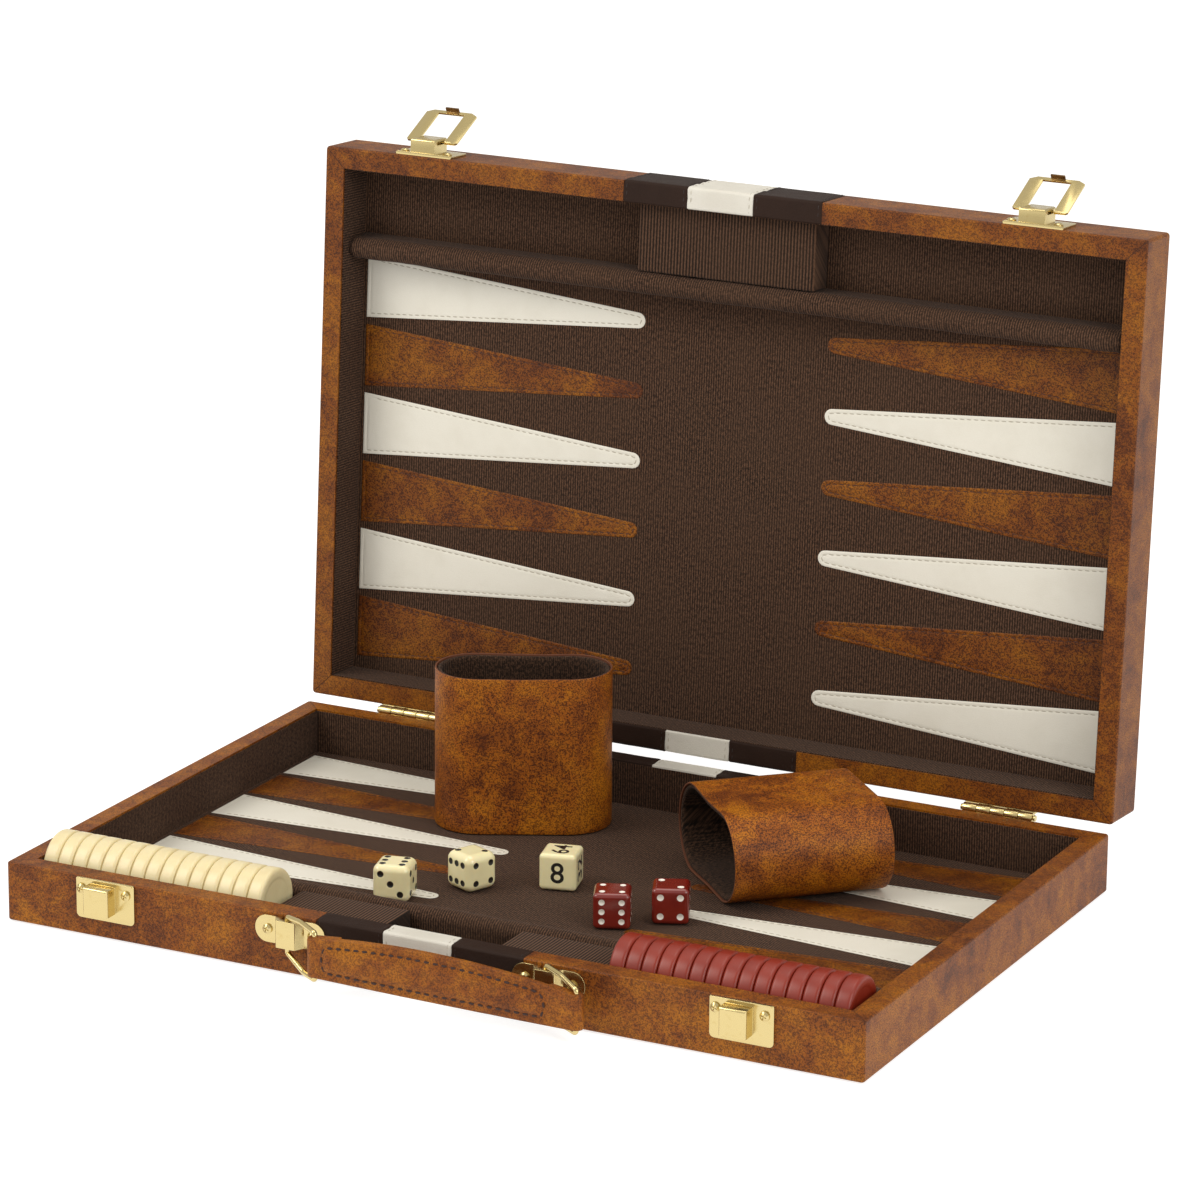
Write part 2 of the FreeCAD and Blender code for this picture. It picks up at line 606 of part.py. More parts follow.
def strap():
    """Padded strap; each end turns back round the ring's outer wire."""
    r_hole_l, r_hole_r = RING_WIRE / 2 + 0.05, RING_WIRE / 2 + 0.3
    R = 3.0
    xl, yb = bar_l
    xr = bar_r[0]
    (l0, l1), (r0, r1) = STRAP_ZL, STRAP_ZR
    mid = (xl + xr) / 2
    # seen from the front: straight lower edge, crowned upper edge, right end lower
    a, b = V(xl, yb - R, l0), V(xr, yb - R, r0)
    c, d = V(xr, yb - R, r1), V(xl, yb - R, l1)
    up = Part.Arc(c, V(mid, yb - R, STRAP_MID_TOP), d).toShape()
    low = Part.Arc(a, V(mid, yb - R, (l0 + r0) / 2 - 0.4), b).toShape()
    face = Part.Face(Part.Wire([low, Part.LineSegment(b, c).toShape(), up, Part.LineSegment(d, a).toShape()]))
    plate = face.extrude(V(0, STRAP_T, 0))
    ends = [cyl(R, l1 - l0, (xl, yb, l0)), cyl(R, r1 - r0, (xr, yb, r0))]
    body = fuse([plate] + ends)
    body = body.cut(cyl(r_hole_l, 60, (xl, yb, -10)))
    body = body.cut(cyl(r_hole_r, 60, (xr, yb, -10)))
    return body


save("handle_strap", strap())
print("handle bars", bar_l, bar_r)


# ---------------------------------------------------------------- checkers
def checker(x0):
    """Disc standing on edge, its axis along X, with a shallow dish in each face."""
    r, t = CHECKER_D / 2, CHECKER_T
    c = cyl(r, t, (x0, CHECKER_Y, FLOOR_Z + r), (1, 0, 0))
    c = c.makeFillet(1.3, [e for e in c.Edges if isinstance(e.Curve, Part.Circle)])
    return c


def row(x_start, d=CHECKER_D):
    return [checker(x_start + CHECKER_PITCH * k) for k in range(15)]


save("cream_checkers", row(CHECKER_X_LEFT))
save("red_checkers", row(CHECKER_X_RIGHT))


# ---------------------------------------------------------------- dice
def die(x, y, turn, side, r):
    h = side / 2
    b = box(-h, h, -h, h, 0, side)
    b = b.makeFillet(r, b.Edges)
    b.rotate(V(0, 0, 0), V(0, 0, 1), turn)
    b.translate(V(x, y, PIECE_Z))
    return b


for n, (x, y, turn, side, r) in DICE.items():
    save(n, die(x, y, turn, side, r))


# ---------------------------------------------------------------- dice cups
def oval(half_l, half_w, z0, h):
    s = half_l - half_w
    pts = [V(-s, -half_w, z0), V(s, -half_w, z0), V(half_l, 0, z0), V(s, half_w, z0), V(-s, half_w, z0), V(-half_l, 0, z0)]
    w = Part.Wire([
        Part.LineSegment(pts[0], pts[1]).toShape(), Part.Arc(pts[1], pts[2], pts[3]).toShape(),
        Part.LineSegment(pts[3], pts[4]).toShape(), Part.Arc(pts[4], pts[5], pts[0]).toShape()])
    return Part.Face(w).extrude(V(0, 0, h))


def cup_shell():
    outer = oval(CUP_L, CUP_W, 0, CUP_H)
    outer = fillet_where(outer, 0.6, lambda e: e.BoundBox.ZMax < 0.01)
    return outer.cut(oval(CUP_L - CUP_WALL, CUP_W - CUP_WALL, CUP_BOTTOM, CUP_H))


def cup_lining():
    o = CUP_WALL
    i = CUP_WALL + CUP_LINING
    body = oval(CUP_L - o, CUP_W - o, CUP_BOTTOM, CUP_H - 1.2 - CUP_BOTTOM)
    return body.cut(oval(CUP_L - i, CUP_W - i, CUP_BOTTOM + CUP_LINING, CUP_H))


def stand(s):
    s = s.copy()
    s.rotate(V(0, 0, 0), V(0, 0, 1), CUP1[2])
    s.translate(V(CUP1[0], CUP1[1], PIECE_Z))
    return s


def lie(s):
    """On its broad side: mouth at CUP2, axis running to the back right."""
    s = s.copy()
    s.translate(V(0, 0, -CUP_H))
    s.rotate(V(0, 0, 0), V(1, 0, 0), 90)      # the cup's -Z now points along +Y
    s.rotate(V(0, 0, 0), V(0, 0, 1), CUP2[2] - 90)
    s.translate(V(CUP2[0], CUP2[1], PIECE_Z + CUP_W))
    return s


save("dice_cup_1", stand(cup_shell()))
save("dice_cup_1_lining", stand(cup_lining()))
save("dice_cup_2", lie(cup_shell()))
save("dice_cup_2_lining", lie(cup_lining()))
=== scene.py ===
import json
import math

import bmesh
import bpy
import numpy as np
from mathutils import Matrix, Vector

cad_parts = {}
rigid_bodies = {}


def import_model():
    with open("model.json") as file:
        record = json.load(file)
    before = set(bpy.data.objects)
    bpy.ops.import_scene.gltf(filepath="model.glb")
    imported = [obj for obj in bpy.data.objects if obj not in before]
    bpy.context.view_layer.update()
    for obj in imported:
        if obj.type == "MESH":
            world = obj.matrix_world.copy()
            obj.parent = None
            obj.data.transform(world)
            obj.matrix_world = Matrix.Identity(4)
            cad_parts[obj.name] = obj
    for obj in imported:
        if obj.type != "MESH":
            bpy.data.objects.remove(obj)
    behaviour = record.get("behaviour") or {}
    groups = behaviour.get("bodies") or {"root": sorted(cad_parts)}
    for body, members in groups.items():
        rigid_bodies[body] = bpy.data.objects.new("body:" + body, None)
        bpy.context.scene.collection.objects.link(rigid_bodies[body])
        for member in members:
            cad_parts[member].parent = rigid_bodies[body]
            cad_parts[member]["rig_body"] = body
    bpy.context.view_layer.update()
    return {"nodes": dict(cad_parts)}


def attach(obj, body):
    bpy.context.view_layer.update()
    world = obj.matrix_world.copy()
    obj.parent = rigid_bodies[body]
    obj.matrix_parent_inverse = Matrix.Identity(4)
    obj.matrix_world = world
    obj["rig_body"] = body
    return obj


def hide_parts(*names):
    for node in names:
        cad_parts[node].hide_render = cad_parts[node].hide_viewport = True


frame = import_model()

scene = bpy.context.scene

# ------------------------------------------------------------------ camera
CAM = Vector((0.9555, -1.8525, 0.7514))
TARGET = Vector((0.016807, -0.0020, 0.132994))
ROLL = math.radians(0.4745)
fwd = (TARGET - CAM).normalized()
right = fwd.cross(Vector((0, 0, 1))).normalized()
up = right.cross(fwd)
r2 = right * math.cos(ROLL) + up * math.sin(ROLL)
u2 = up * math.cos(ROLL) - right * math.sin(ROLL)
cam_data = bpy.data.cameras.new("camera")
cam_data.lens = 162.3
cam_data.sensor_width = 36
cam_data.sensor_fit = "HORIZONTAL"
cam_data.clip_start = 0.05
cam_data.clip_end = 50
cam = bpy.data.objects.new("camera", cam_data)
scene.collection.objects.link(cam)
m = Matrix((r2, u2, -fwd)).transposed().to_4x4()
m.translation = CAM
cam.matrix_world = m
scene.camera = cam

# ------------------------------------------------------------------ numbers from the CAD
L2, W2 = 190.0, 122.0
SHELL_H, WALL, LINING, FLOOR_Z = 24.8, 9.0, 0.5, 5.2
MID_Z, PIN_Y = 25.1, 124.45
OPEN = math.radians(93.7)
POINT_BASE_X, POINT_LEN, POINT_W, POINT_TIP_R = 178.5, 135.7, 27.4, 3.4
ROWS = [-59.1 + 30.5 * k for k in range(6)]
RAIL_Y0, RAIL_W, RAIL_TOP = -83.1, 10.2, 21.4
CUP_L, CUP_W, CUP_H = 37.6, 19.2, 68.8
PIECE_Z = 5.55


def to_lid(p):
    """Base-like local mm -> the open lid, in mm. The lid is the base mirrored, closed, then opened."""
    p = np.asarray(p, float).copy()
    y, z = p[:, 1], 2 * MID_Z - p[:, 2]
    dy, dz = y - PIN_Y, z - MID_Z
    c, s = math.cos(OPEN), math.sin(OPEN)
    out = p.copy()
    out[:, 1] = PIN_Y + dy * c + dz * s
    out[:, 2] = MID_Z - dy * s + dz * c
    return out


# ------------------------------------------------------------------ mesh helpers
def lin(r, g, b):
    out = []
    for c in (r, g, b):
        c /= 255.0
        out.append(c / 12.92 if c <= 0.04045 else ((c + 0.055) / 1.055) ** 2.4)
    return (out[0], out[1], out[2], 1.0)


def grid_faces(nu, nv, wu=False, wv=False, flip=False, base=0):
    """Quads of a grid stored as index u * nv + v."""
    f = []
    for i in range(nu if wu else nu - 1):
        for j in range(nv if wv else nv - 1):
            a = base + i * nv + j
            b = base + ((i + 1) % nu) * nv + j
            c = base + ((i + 1) % nu) * nv + (j + 1) % nv
            d = base + i * nv + (j + 1) % nv
            f.append((a, d, c, b) if flip else (a, b, c, d))
    return f


def make(name, verts, faces, mats, half="base", idx=None, sharp=40, place=None, extra=None):
    """A mesh object from local mm. half 'lid' mirrors and opens it; place is a 4x4 in mm instead."""
    v = np.asarray(verts, float)
    if place is not None:
        h = np.c_[v, np.ones(len(v))]
        w = (h @ np.array(place).T)[:, :3]
    elif half == "lid":
        w = to_lid(v)
        faces = [tuple(reversed(f)) for f in faces]
    else:
        w = v
    me = bpy.data.meshes.new(name)
    me.from_pydata((w * 0.001).tolist(), [], faces)
    at = me.attributes.new("lc", "FLOAT_VECTOR", "POINT")
    at.data.foreach_set("vector", v.astype(np.float32).ravel())
    for key, values in (extra or {}).items():
        a = me.attributes.new(key, "FLOAT", "POINT")
        a.data.foreach_set("value", np.asarray(values, np.float32))
    for mt in mats if isinstance(mats, (list, tuple)) else [mats]:
        me.materials.append(mt)
    if idx is not None:
        me.polygons.foreach_set("material_index", np.asarray(idx, np.int32))
    me.polygons.foreach_set("use_smooth", np.ones(len(me.polygons), bool))
    me.update()
    if sharp:
        me.set_sharp_from_angle(angle=math.radians(sharp))
    me.validate()
    ob = bpy.data.objects.new(name, me)
    scene.collection.objects.link(ob)
    return ob


def weld(ob, dist=1e-6):
    bm = bmesh.new()
    bm.from_mesh(ob.data)
    bmesh.ops.remove_doubles(bm, verts=bm.verts, dist=dist)
    bmesh.ops.recalc_face_normals(bm, faces=bm.faces)
    bm.to_mesh(ob.data)
    bm.free()
    return ob


def bevel_copy(node, width, mat, segments=3, angle=28, name=None, body=None):
    """The same sheet-metal or board form as the CAD node, with its edges broken."""
    src = frame["nodes"][node]
    bm = bmesh.new()
    bm.from_mesh(src.data)
    bmesh.ops.remove_doubles(bm, verts=bm.verts, dist=2e-6)
    bmesh.ops.dissolve_limit(bm, angle_limit=math.radians(0.6), verts=bm.verts, edges=bm.edges)
    me = bpy.data.meshes.new(name or node + "_skin")
    bm.to_mesh(me)
    bm.free()
    me.materials.append(mat)
    me.polygons.foreach_set("use_smooth", np.ones(len(me.polygons), bool))
    ob = bpy.data.objects.new(name or node + "_skin", me)
    scene.collection.objects.link(ob)
    mod = ob.modifiers.new("edge", "BEVEL")
    mod.width = width * 0.001
    mod.segments = segments
    mod.limit_method = "ANGLE"
    mod.angle_limit = math.radians(angle)
    mod.use_clamp_overlap = True
    mod.harden_normals = False
    bpy.context.view_layer.update()
    dg = bpy.context.evaluated_depsgraph_get()
    new = bpy.data.meshes.new_from_object(ob.evaluated_get(dg))
    ob.modifiers.clear()
    ob.data = new
    new.polygons.foreach_set("use_smooth", np.ones(len(new.polygons), bool))
    new.set_sharp_from_angle(angle=math.radians(35))
    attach(ob, body or src["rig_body"])
    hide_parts(node)
    return ob


rng = np.random.default_rng(7)


def wobble(p, size, seed, octaves=2):
    """Smooth value noise in 3-D, about -1..1, for points in mm."""
    p = np.asarray(p, float)
    total, amp, norm = np.zeros(len(p)), 1.0, 0.0
    for o in range(octaves):
        g = np.random.default_rng(seed + 31 * o)
        dirs = g.normal(size=(9, 3))
        dirs /= np.linalg.norm(dirs, axis=1)[:, None]
        ph = g.uniform(0, 2 * math.pi, 9)
        k = 2 * math.pi / (size / 2 ** o) * g.uniform(0.6, 1.5, 9)
        total += amp * np.sin((p @ dirs.T) * k + ph).sum(1) / 3.0
        norm += amp
        amp *= 0.5
    return total / norm


# ------------------------------------------------------------------ shader helpers
class Nodes:
    def __init__(self, name):
        self.mat = bpy.data.materials.new(name)
        self.mat.use_nodes = True
        self.nt = self.mat.node_tree
        self.bsdf = next(n for n in self.nt.nodes if n.type == "BSDF_PRINCIPLED")

    def new(self, kind, **kw):
        n = self.nt.nodes.new(kind)
        for k, v in kw.items():
            setattr(n, k, v)
        return n

    def put(self, socket, value):
        if isinstance(value, bpy.types.NodeSocket):
            self.nt.links.new(value, socket)
        elif value is not None:
            socket.default_value = value

    def coords(self, kind):
        """Local coordinates in mm: the base frame, also for the lid."""
        if kind == "lc":
            return self.new("ShaderNodeAttribute", attribute_name="lc").outputs["Vector"]
        co = self.new("ShaderNodeTexCoord").outputs["Object"]
        mm = self.vec("SCALE", co, scale=1000.0)
        if kind == "base":
            return mm
        sub = self.vec("SUBTRACT", mm, (0.0, PIN_Y, MID_Z))
        c, s = math.cos(OPEN), math.sin(OPEN)
        x, y, z = self.split(sub)
        # inverse of to_lid's turn, then the mirror
        ly = self.math("ADD", self.math("SUBTRACT", self.math("MULTIPLY", y, c), self.math("MULTIPLY", z, s)), PIN_Y)
        lz = self.math("SUBTRACT", MID_Z, self.math("ADD", self.math("MULTIPLY", y, s), self.math("MULTIPLY", z, c)))
        return self.join(x, ly, lz)

    def vec(self, op, a, b=None, scale=None):
        n = self.new("ShaderNodeVectorMath", operation=op)
        self.put(n.inputs[0], a)
        if b is not None:
            self.put(n.inputs[1], b)
        if scale is not None:
            self.put(n.inputs["Scale"], scale)
        return n.outputs[1] if op in ("LENGTH", "DOT_PRODUCT", "DISTANCE") else n.outputs[0]

    def split(self, v):
        n = self.new("ShaderNodeSeparateXYZ")
        self.put(n.inputs[0], v)
        return n.outputs[0], n.outputs[1], n.outputs[2]

    def join(self, x, y, z):
        n = self.new("ShaderNodeCombineXYZ")
        for s, v in zip(n.inputs, (x, y, z)):
            self.put(s, v)
        return n.outputs[0]

    def math(self, op, a, b=None, c=None, clamp=False):
        n = self.new("ShaderNodeMath", operation=op, use_clamp=clamp)
        for s, v in zip(n.inputs, (a, b, c)):
            if v is not None:
                self.put(s, v)
        return n.outputs[0]

    def noise(self, v, size, detail=2.0, rough=0.5, distort=0.0):
        n = self.new("ShaderNodeTexNoise")
        self.put(n.inputs["Vector"], v)
        n.inputs["Scale"].default_value = 1.0 / size
        n.inputs["Detail"].default_value = detail
        n.inputs["Roughness"].default_value = rough
        n.inputs["Distortion"].default_value = distort
        return n.outputs["Fac"]

    def step(self, x, lo, hi):
        n = self.new("ShaderNodeMapRange", interpolation_type="SMOOTHSTEP")
        self.put(n.inputs["Value"], x)
        self.put(n.inputs["From Min"], lo)
        self.put(n.inputs["From Max"], hi)
        return n.outputs[0]

    def mix(self, fac, a, b, mode="MIX"):
        n = self.new("ShaderNodeMix", data_type="RGBA", blend_type=mode)
        self.put(n.inputs[0], fac)
        self.put(n.inputs[6], a)
        self.put(n.inputs[7], b)
        return n.outputs[2]

    def fmix(self, fac, a, b):
        n = self.new("ShaderNodeMix", data_type="FLOAT")
        self.put(n.inputs[0], fac)
        self.put(n.inputs[2], a)
        self.put(n.inputs[3], b)
        return n.outputs[0]

    def ramp(self, x, stops):
        n = self.new("ShaderNodeValToRGB")
        self.put(n.inputs[0], x)
        el = n.color_ramp.elements
        while len(el) < len(stops):
            el.new(0.5)
        for e, (p, c) in zip(el, stops):
            e.position = p
            e.color = c
        return n.outputs[0]

    def bump(self, height, mm, normal=None, strength=1.0):
        n = self.new("ShaderNodeBump")
        n.inputs["Strength"].default_value = strength
        n.inputs["Distance"].default_value = mm * 0.001
        self.put(n.inputs["Height"], height)
        if normal is not None:
            self.put(n.inputs["Normal"], normal)
        return n.outputs[0]

    def finish(self, color=None, rough=None, normal=None, **kw):
        b = self.bsdf
        self.put(b.inputs["Base Color"], color)
        self.put(b.inputs["Roughness"], rough)
        if normal is not None:
            self.put(b.inputs["Normal"], normal)
        for k, v in kw.items():
            self.put(b.inputs[k.replace("_", " ")], v)
        return self.mat


def leatherette(name, kind, mitre=False, shade=1.0, dot=1.0):
    """Mottled rust-brown leatherette: clouds of orange and dark red-brown, and a fine dark stipple."""
    n = Nodes(name)
    v = n.coords(kind)
    big = n.noise(v, 34, 2, 0.5, 0.3)
    mid = n.noise(v, 9.5, 3, 0.55, 0.6)
    small = n.noise(v, 2.6, 3, 0.6)
    cloud = n.math("ADD", n.math("MULTIPLY", big, 0.42), n.math("ADD", n.math("MULTIPLY", mid, 0.40), n.math("MULTIPLY", small, 0.18)))
    k = shade
    dark = tuple(c * k for c in lin(106, 52, 14)[:3]) + (1,)
    midc = tuple(c * k for c in lin(147, 80, 17)[:3]) + (1,)
    warmc = tuple(c * k for c in lin(175, 106, 19)[:3]) + (1,)
    col = n.ramp(cloud, [(0.36, dark), (0.47, midc), (0.60, warmc)])
    fine = n.noise(v, 0.72, 2, 0.7)
    grain = n.noise(v, 0.40, 1, 0.5)
    dots = n.math("ADD", n.math("MULTIPLY", fine, 0.62), n.math("MULTIPLY", grain, 0.38))
    spk = n.step(dots, 0.455, 0.56)
    amount = n.fmix(n.step(cloud, 0.38, 0.60), 0.86 * dot, 0.66 * dot)
    stip = tuple(c * k for c in lin(64, 30, 10)[:3]) + (1,)
    col = n.mix(n.math("MULTIPLY", spk, amount), col, stip)
    height = n.math("ADD", n.math("MULTIPLY", fine, 0.6), n.math("MULTIPLY", spk, -0.5))
    if mitre:
        x, y, z = n.split(v)
        ax, ay = n.math("ABSOLUTE", x), n.math("ABSOLUTE", y)
        d = n.math("ABSOLUTE", n.math("SUBTRACT", n.math("SUBTRACT", L2, ax), n.math("SUBTRACT", W2, ay)))
        line = n.math("SUBTRACT", 1.0, n.step(d, 0.10, 0.42))
        top = n.step(z, SHELL_H - 1.6, SHELL_H - 0.5)
        line = n.math("MULTIPLY", line, top)
        col = n.mix(n.math("MULTIPLY", line, 0.72), col, stip)
        height = n.math("SUBTRACT", height, n.math("MULTIPLY", line, 2.2))
    wave = n.noise(v, 22, 2, 0.5)
    normal = n.bump(wave, 0.35, None, 0.35)
    normal = n.bump(height, 0.07, normal, 0.75)
    rough = n.fmix(grain, 0.42, 0.58)
    return n.finish(col, rough, normal, Specular_IOR_Level=0.22)


def corduroy(name, kind, tone=1.0, side=False, pitch=1.12, ribs=0.42):
    """Dark chocolate ribbed fabric. Ribs lie across x, or across y on the side walls."""
    n = Nodes(name)
    v = n.coords(kind)
    x, y, z = n.split(v)
    wob = n.noise(v, 30, 1, 0.5)
    if side:
        # left and right walls face x, front and back walls face y
        sel = n.step(n.math("ABSOLUTE", x), L2 - WALL - 1.2, L2 - WALL - 0.7)
        u = n.fmix(sel, x, y)
        w = z
    else:
        u, w = x, n.math("ADD", y, z)
    u = n.math("ADD", u, n.math("MULTIPLY", wob, 0.5))
    rib = n.math("ADD", n.math("MULTIPLY", n.math("SINE", n.math("MULTIPLY", u, 2 * math.pi / pitch)), 0.5), 0.5)
    knit = n.math("ADD", n.math("MULTIPLY", n.math("SINE", n.math("ADD", n.math("MULTIPLY", w, 2 * math.pi / 0.62), n.math("MULTIPLY", u, 2.2))), 0.5), 0.5)
    fuzz = n.step(n.noise(n.join(n.math("MULTIPLY", u, 1.25), n.math("MULTIPLY", w, 0.62), 0.0), 0.95, 3, 0.8), 0.32, 0.68)
    cloud = n.noise(v, 26, 3, 0.55)
    f = n.math("ADD", n.math("MULTIPLY", rib, ribs), n.math("ADD", n.math("MULTIPLY", knit, 0.10), n.math("MULTIPLY", fuzz, 0.90 - ribs)))
    t = tone
    a = tuple(c * t for c in lin(26, 17, 11)[:3]) + (1,)
    b = tuple(c * t for c in lin(56, 38, 27)[:3]) + (1,)
    c2 = tuple(c * t for c in lin(98, 70, 52)[:3]) + (1,)
    col = n.ramp(f, [(0.20, a), (0.50, b), (0.80, c2)])
    col = n.mix(n.math("MULTIPLY", n.step(cloud, 0.35, 0.7), 0.22), col, tuple(c * t for c in lin(72, 52, 38)[:3]) + (1,))
    h = n.math("ADD", n.math("MULTIPLY", rib, 0.8), n.math("ADD", n.math("MULTIPLY", knit, 0.15), n.math("MULTIPLY", fuzz, 0.35)))
    normal = n.bump(h, 0.16, None, 0.8)
    return n.finish(col, 0.93, normal, Sheen_Weight=0.03, Sheen_Roughness=0.5, Specular_IOR_Level=0.2)


def vinyl(name, kind, base, dark, rough, grain=0.5, coat=0.0, bump=0.05, soil=0.25, spec=0.45):
    """Smooth sewn vinyl: faint leather grain, slight soiling."""
    n = Nodes(name)
    v = n.coords(kind)
    cells = n.new("ShaderNodeTexVoronoi", feature="DISTANCE_TO_EDGE")
    n.put(cells.inputs["Vector"], n.vec("ADD", v, n.vec("SCALE", n.new("ShaderNodeTexNoise").outputs["Color"], scale=0.0)))
    cells.inputs["Scale"].default_value = 1.0 / 0.9
    crease = n.step(cells.outputs["Distance"], 0.0, 0.16)
    fine = n.noise(v, 0.5, 2, 0.6)
    cloud = n.noise(v, 18, 3, 0.6)
    col = n.mix(n.math("MULTIPLY", n.step(cloud, 0.38, 0.72), soil), base, dark)
    col = n.mix(n.math("MULTIPLY", n.math("SUBTRACT", 1.0, crease), 0.18 * grain), col, dark)
    h = n.math("ADD", n.math("MULTIPLY", crease, grain), n.math("MULTIPLY", fine, 0.4))
    wave = n.noise(v, 7, 2, 0.5)
    normal = n.bump(wave, 0.25, None, 0.4)
    normal = n.bump(h, bump, normal, 0.6)
    return n.finish(col, n.fmix(fine, rough - 0.05, rough + 0.08), normal, Coat_Weight=coat, Coat_Roughness=0.2, Specular_IOR_Level=spec)


def brass(name, kind, tint=(0.66, 0.53, 0.25), rough=0.20, dull=0.0):
    """Bright polished brass plate with faint polishing lines and a little tarnish."""
    n = Nodes(name)
    v = n.coords(kind)
    x, y, z = n.split(v)
    lines = n.noise(n.join(n.math("MULTIPLY", x, 0.06), y, z), 0.16, 2, 0.6)
    smear = n.noise(v, 5.0, 3, 0.6)
    tarnish = n.step(n.noise(v, 3.2, 4, 0.65), 0.55, 0.75)
    bright = tint + (1,)
    deep = (tint[0] * 0.80, tint[1] * 0.70, tint[2] * 0.50, 1)
    col = n.mix(n.math("MULTIPLY", tarnish, 0.30 + dull), bright, deep)
    r = n.math("ADD", n.fmix(smear, rough - 0.06, rough + 0.08), n.math("MULTIPLY", lines, 0.05))
    normal = n.bump(n.noise(v, 5.5, 2, 0.5), 0.035, None, 0.25)
    normal = n.bump(lines, 0.004, normal, 0.35)
    return n.finish(col, r, normal, Metallic=1.0)


def plastic(name, base, deep, rough, kind="lc", sss=0.0, mark=None, mark_rough=0.4, coat=0.3):
    """Moulded plastic with faint flow clouds. mark colours the inside of pips, from the 'pip' distance."""
    n = Nodes(name)
    v = n.coords(kind)
    cloud = n.noise(v, 11, 3, 0.6)
    fine = n.noise(v, 0.7, 2, 0.6)
    col = n.mix(n.math("MULTIPLY", n.step(cloud, 0.35, 0.75), 0.5), base, deep)
    r = n.fmix(fine, rough - 0.03, rough + 0.05)
    if mark is not None:
        d = n.new("ShaderNodeAttribute", attribute_name="pip").outputs["Fac"]
        inside = n.math("SUBTRACT", 1.0, n.step(d, -0.10, 0.03))
        col = n.mix(inside, col, mark)
        r = n.fmix(inside, r, mark_rough)
    normal = n.bump(n.noise(v, 6, 2, 0.5), 0.05, None, 0.3)
    normal = n.bump(fine, 0.008, normal, 0.5)
    kw = dict(Coat_Weight=coat, Coat_Roughness=0.12)
    if sss:
        kw.update(Subsurface_Weight=sss, Subsurface_Scale=0.002)
    mat = n.finish(col, r, normal, **kw)
    if sss:
        n.bsdf.inputs["Subsurface Radius"].default_value = (1.0, 0.7, 0.35)
    return mat


def thread(name, color, light):
    n = Nodes(name)
    v = n.coords("lc")
    f = n.noise(v, 0.25, 2, 0.6)
    col = n.mix(f, color, light)
    return n.finish(col, 0.7, n.bump(f, 0.04, None, 0.6))


M = {}
M["leather_base"] = leatherette("leatherette_base", "base", mitre=True, shade=0.82, dot=1.0)
# the lid's leatherette is the base's leatherette made darker (shade 0.70 against 0.82): painted shade for the weaker
# light on the raised lid
M["leather_lid"] = leatherette("leatherette_lid_shaded", "lid", mitre=True, shade=0.70, dot=1.0)
M["leather"] = leatherette("leatherette_sewn", "lc", shade=0.68, dot=1.15)
M["leather_cup"] = leatherette("leatherette_cup", "lc", shade=1.12, dot=1.15)
M["leather_strap"] = leatherette("leatherette_strap", "lc", shade=0.83, dot=0.85)
M["cloth_base"] = corduroy("corduroy_base", "base")
M["block_base"] = corduroy("corduroy_block_base", "base", pitch=1.45, ribs=0.72)
# the lid's block cloth is toned down to 0.86 against the base block: painted shade for the weaker light on the raised
# lid
M["block_lid"] = corduroy("corduroy_block_lid_shaded", "lid", tone=0.86, pitch=1.45, ribs=0.6)
M["cloth_lid"] = corduroy("corduroy_lid", "lid")
M["cloth"] = corduroy("corduroy_sewn", "lc")
M["cloth_cup"] = corduroy("corduroy_cup", "lc", tone=0.72, pitch=0.8, ribs=0.22)
M["lining_base"] = corduroy("corduroy_lining_base", "base", side=True)
M["lining_lid"] = corduroy("corduroy_lining_lid", "lid", side=True)
WHITE, WHITE_D = lin(226, 222, 210), lin(206, 200, 184)
M["white_stripe"] = vinyl("vinyl_white_stripe", "lc", lin(212, 208, 198), lin(190, 184, 170), 0.45, 0.8, bump=0.09)
M["white"] = vinyl("vinyl_white", "lc", WHITE, WHITE_D, 0.42, 0.6)
M["dark"] = vinyl("vinyl_dark", "lc", lin(44, 29, 22), lin(26, 15, 10), 0.55, 0.8, bump=0.10, spec=0.12)
M["brass_base"] = brass("brass_base", "base")
M["brass_lid"] = brass("brass_lid", "lid")
M["brass_wire"] = brass("brass_wire", "base", rough=0.12)
M["bronze"] = brass("bronze_tab", "lid", tint=(0.17, 0.095, 0.04), rough=0.34)
M["ivory"] = plastic("ivory_plastic", lin(226, 211, 166), lin(210, 190, 142), 0.36, sss=0.12, coat=0.12)
M["red"] = plastic("red_plastic", lin(134, 38, 18), lin(112, 27, 13), 0.36, coat=0.0)
M["ivory_die"] = plastic("ivory_die", lin(240, 230, 184), lin(230, 216, 164), 0.24, sss=0.2, mark=lin(22, 18, 15), coat=0.6)
M["red_die"] = plastic("red_die", lin(122, 32, 22), lin(98, 20, 15), 0.20, mark=lin(238, 232, 222), coat=0.6)
M["ink"] = plastic("ink", lin(24, 20, 17), lin(38, 32, 27), 0.45)
# white thread, made darker than the white vinyl: painted shade of the stitch holes and the dips between stitches
M["thread_white_shaded"] = thread("thread_white_shaded", lin(158, 150, 136), lin(196, 189, 173))
M["thread_brown"] = thread("thread_brown", lin(50, 22, 8), lin(84, 42, 18))
M["thread_strap"] = thread("thread_strap", lin(34, 14, 7), lin(58, 27, 13))
M["thread_dark"] = thread("thread_dark", lin(24, 15, 13), lin(48, 32, 27))
M["edge_tan"] = thread("cut_edge_tan", lin(80, 40, 20), lin(112, 62, 34))


# ------------------------------------------------------------------ carried-over CAD nodes
def paint(names, mat):
    for nm in names:
        ob = frame["nodes"][nm]
        ob.data.materials.clear()
        ob.data.materials.append(mat)


for half in ("base", "lid"):
    paint([f"{half}_wall_{s}" for s in ("front", "back", "left", "right")], M["leather_" + half])
    paint([f"{half}_playfield"], M["cloth_" + half])
    paint([f"{half}_lining"], M["lining_" + half])
paint(["base_bottom_panel"], M["leather_base"])
paint(["lid_top_panel"], M["leather_lid"])
paint(["handle_ring_left", "handle_ring_right"], M["brass_wire"])
paint(["hinge_pins", "bracket_screws", "keeper_screws", "hinge_screws_base"], M["brass_base"])
paint(["latch_screws", "hinge_screws_lid", "latch_slider_left", "latch_slider_right"], M["brass_lid"])

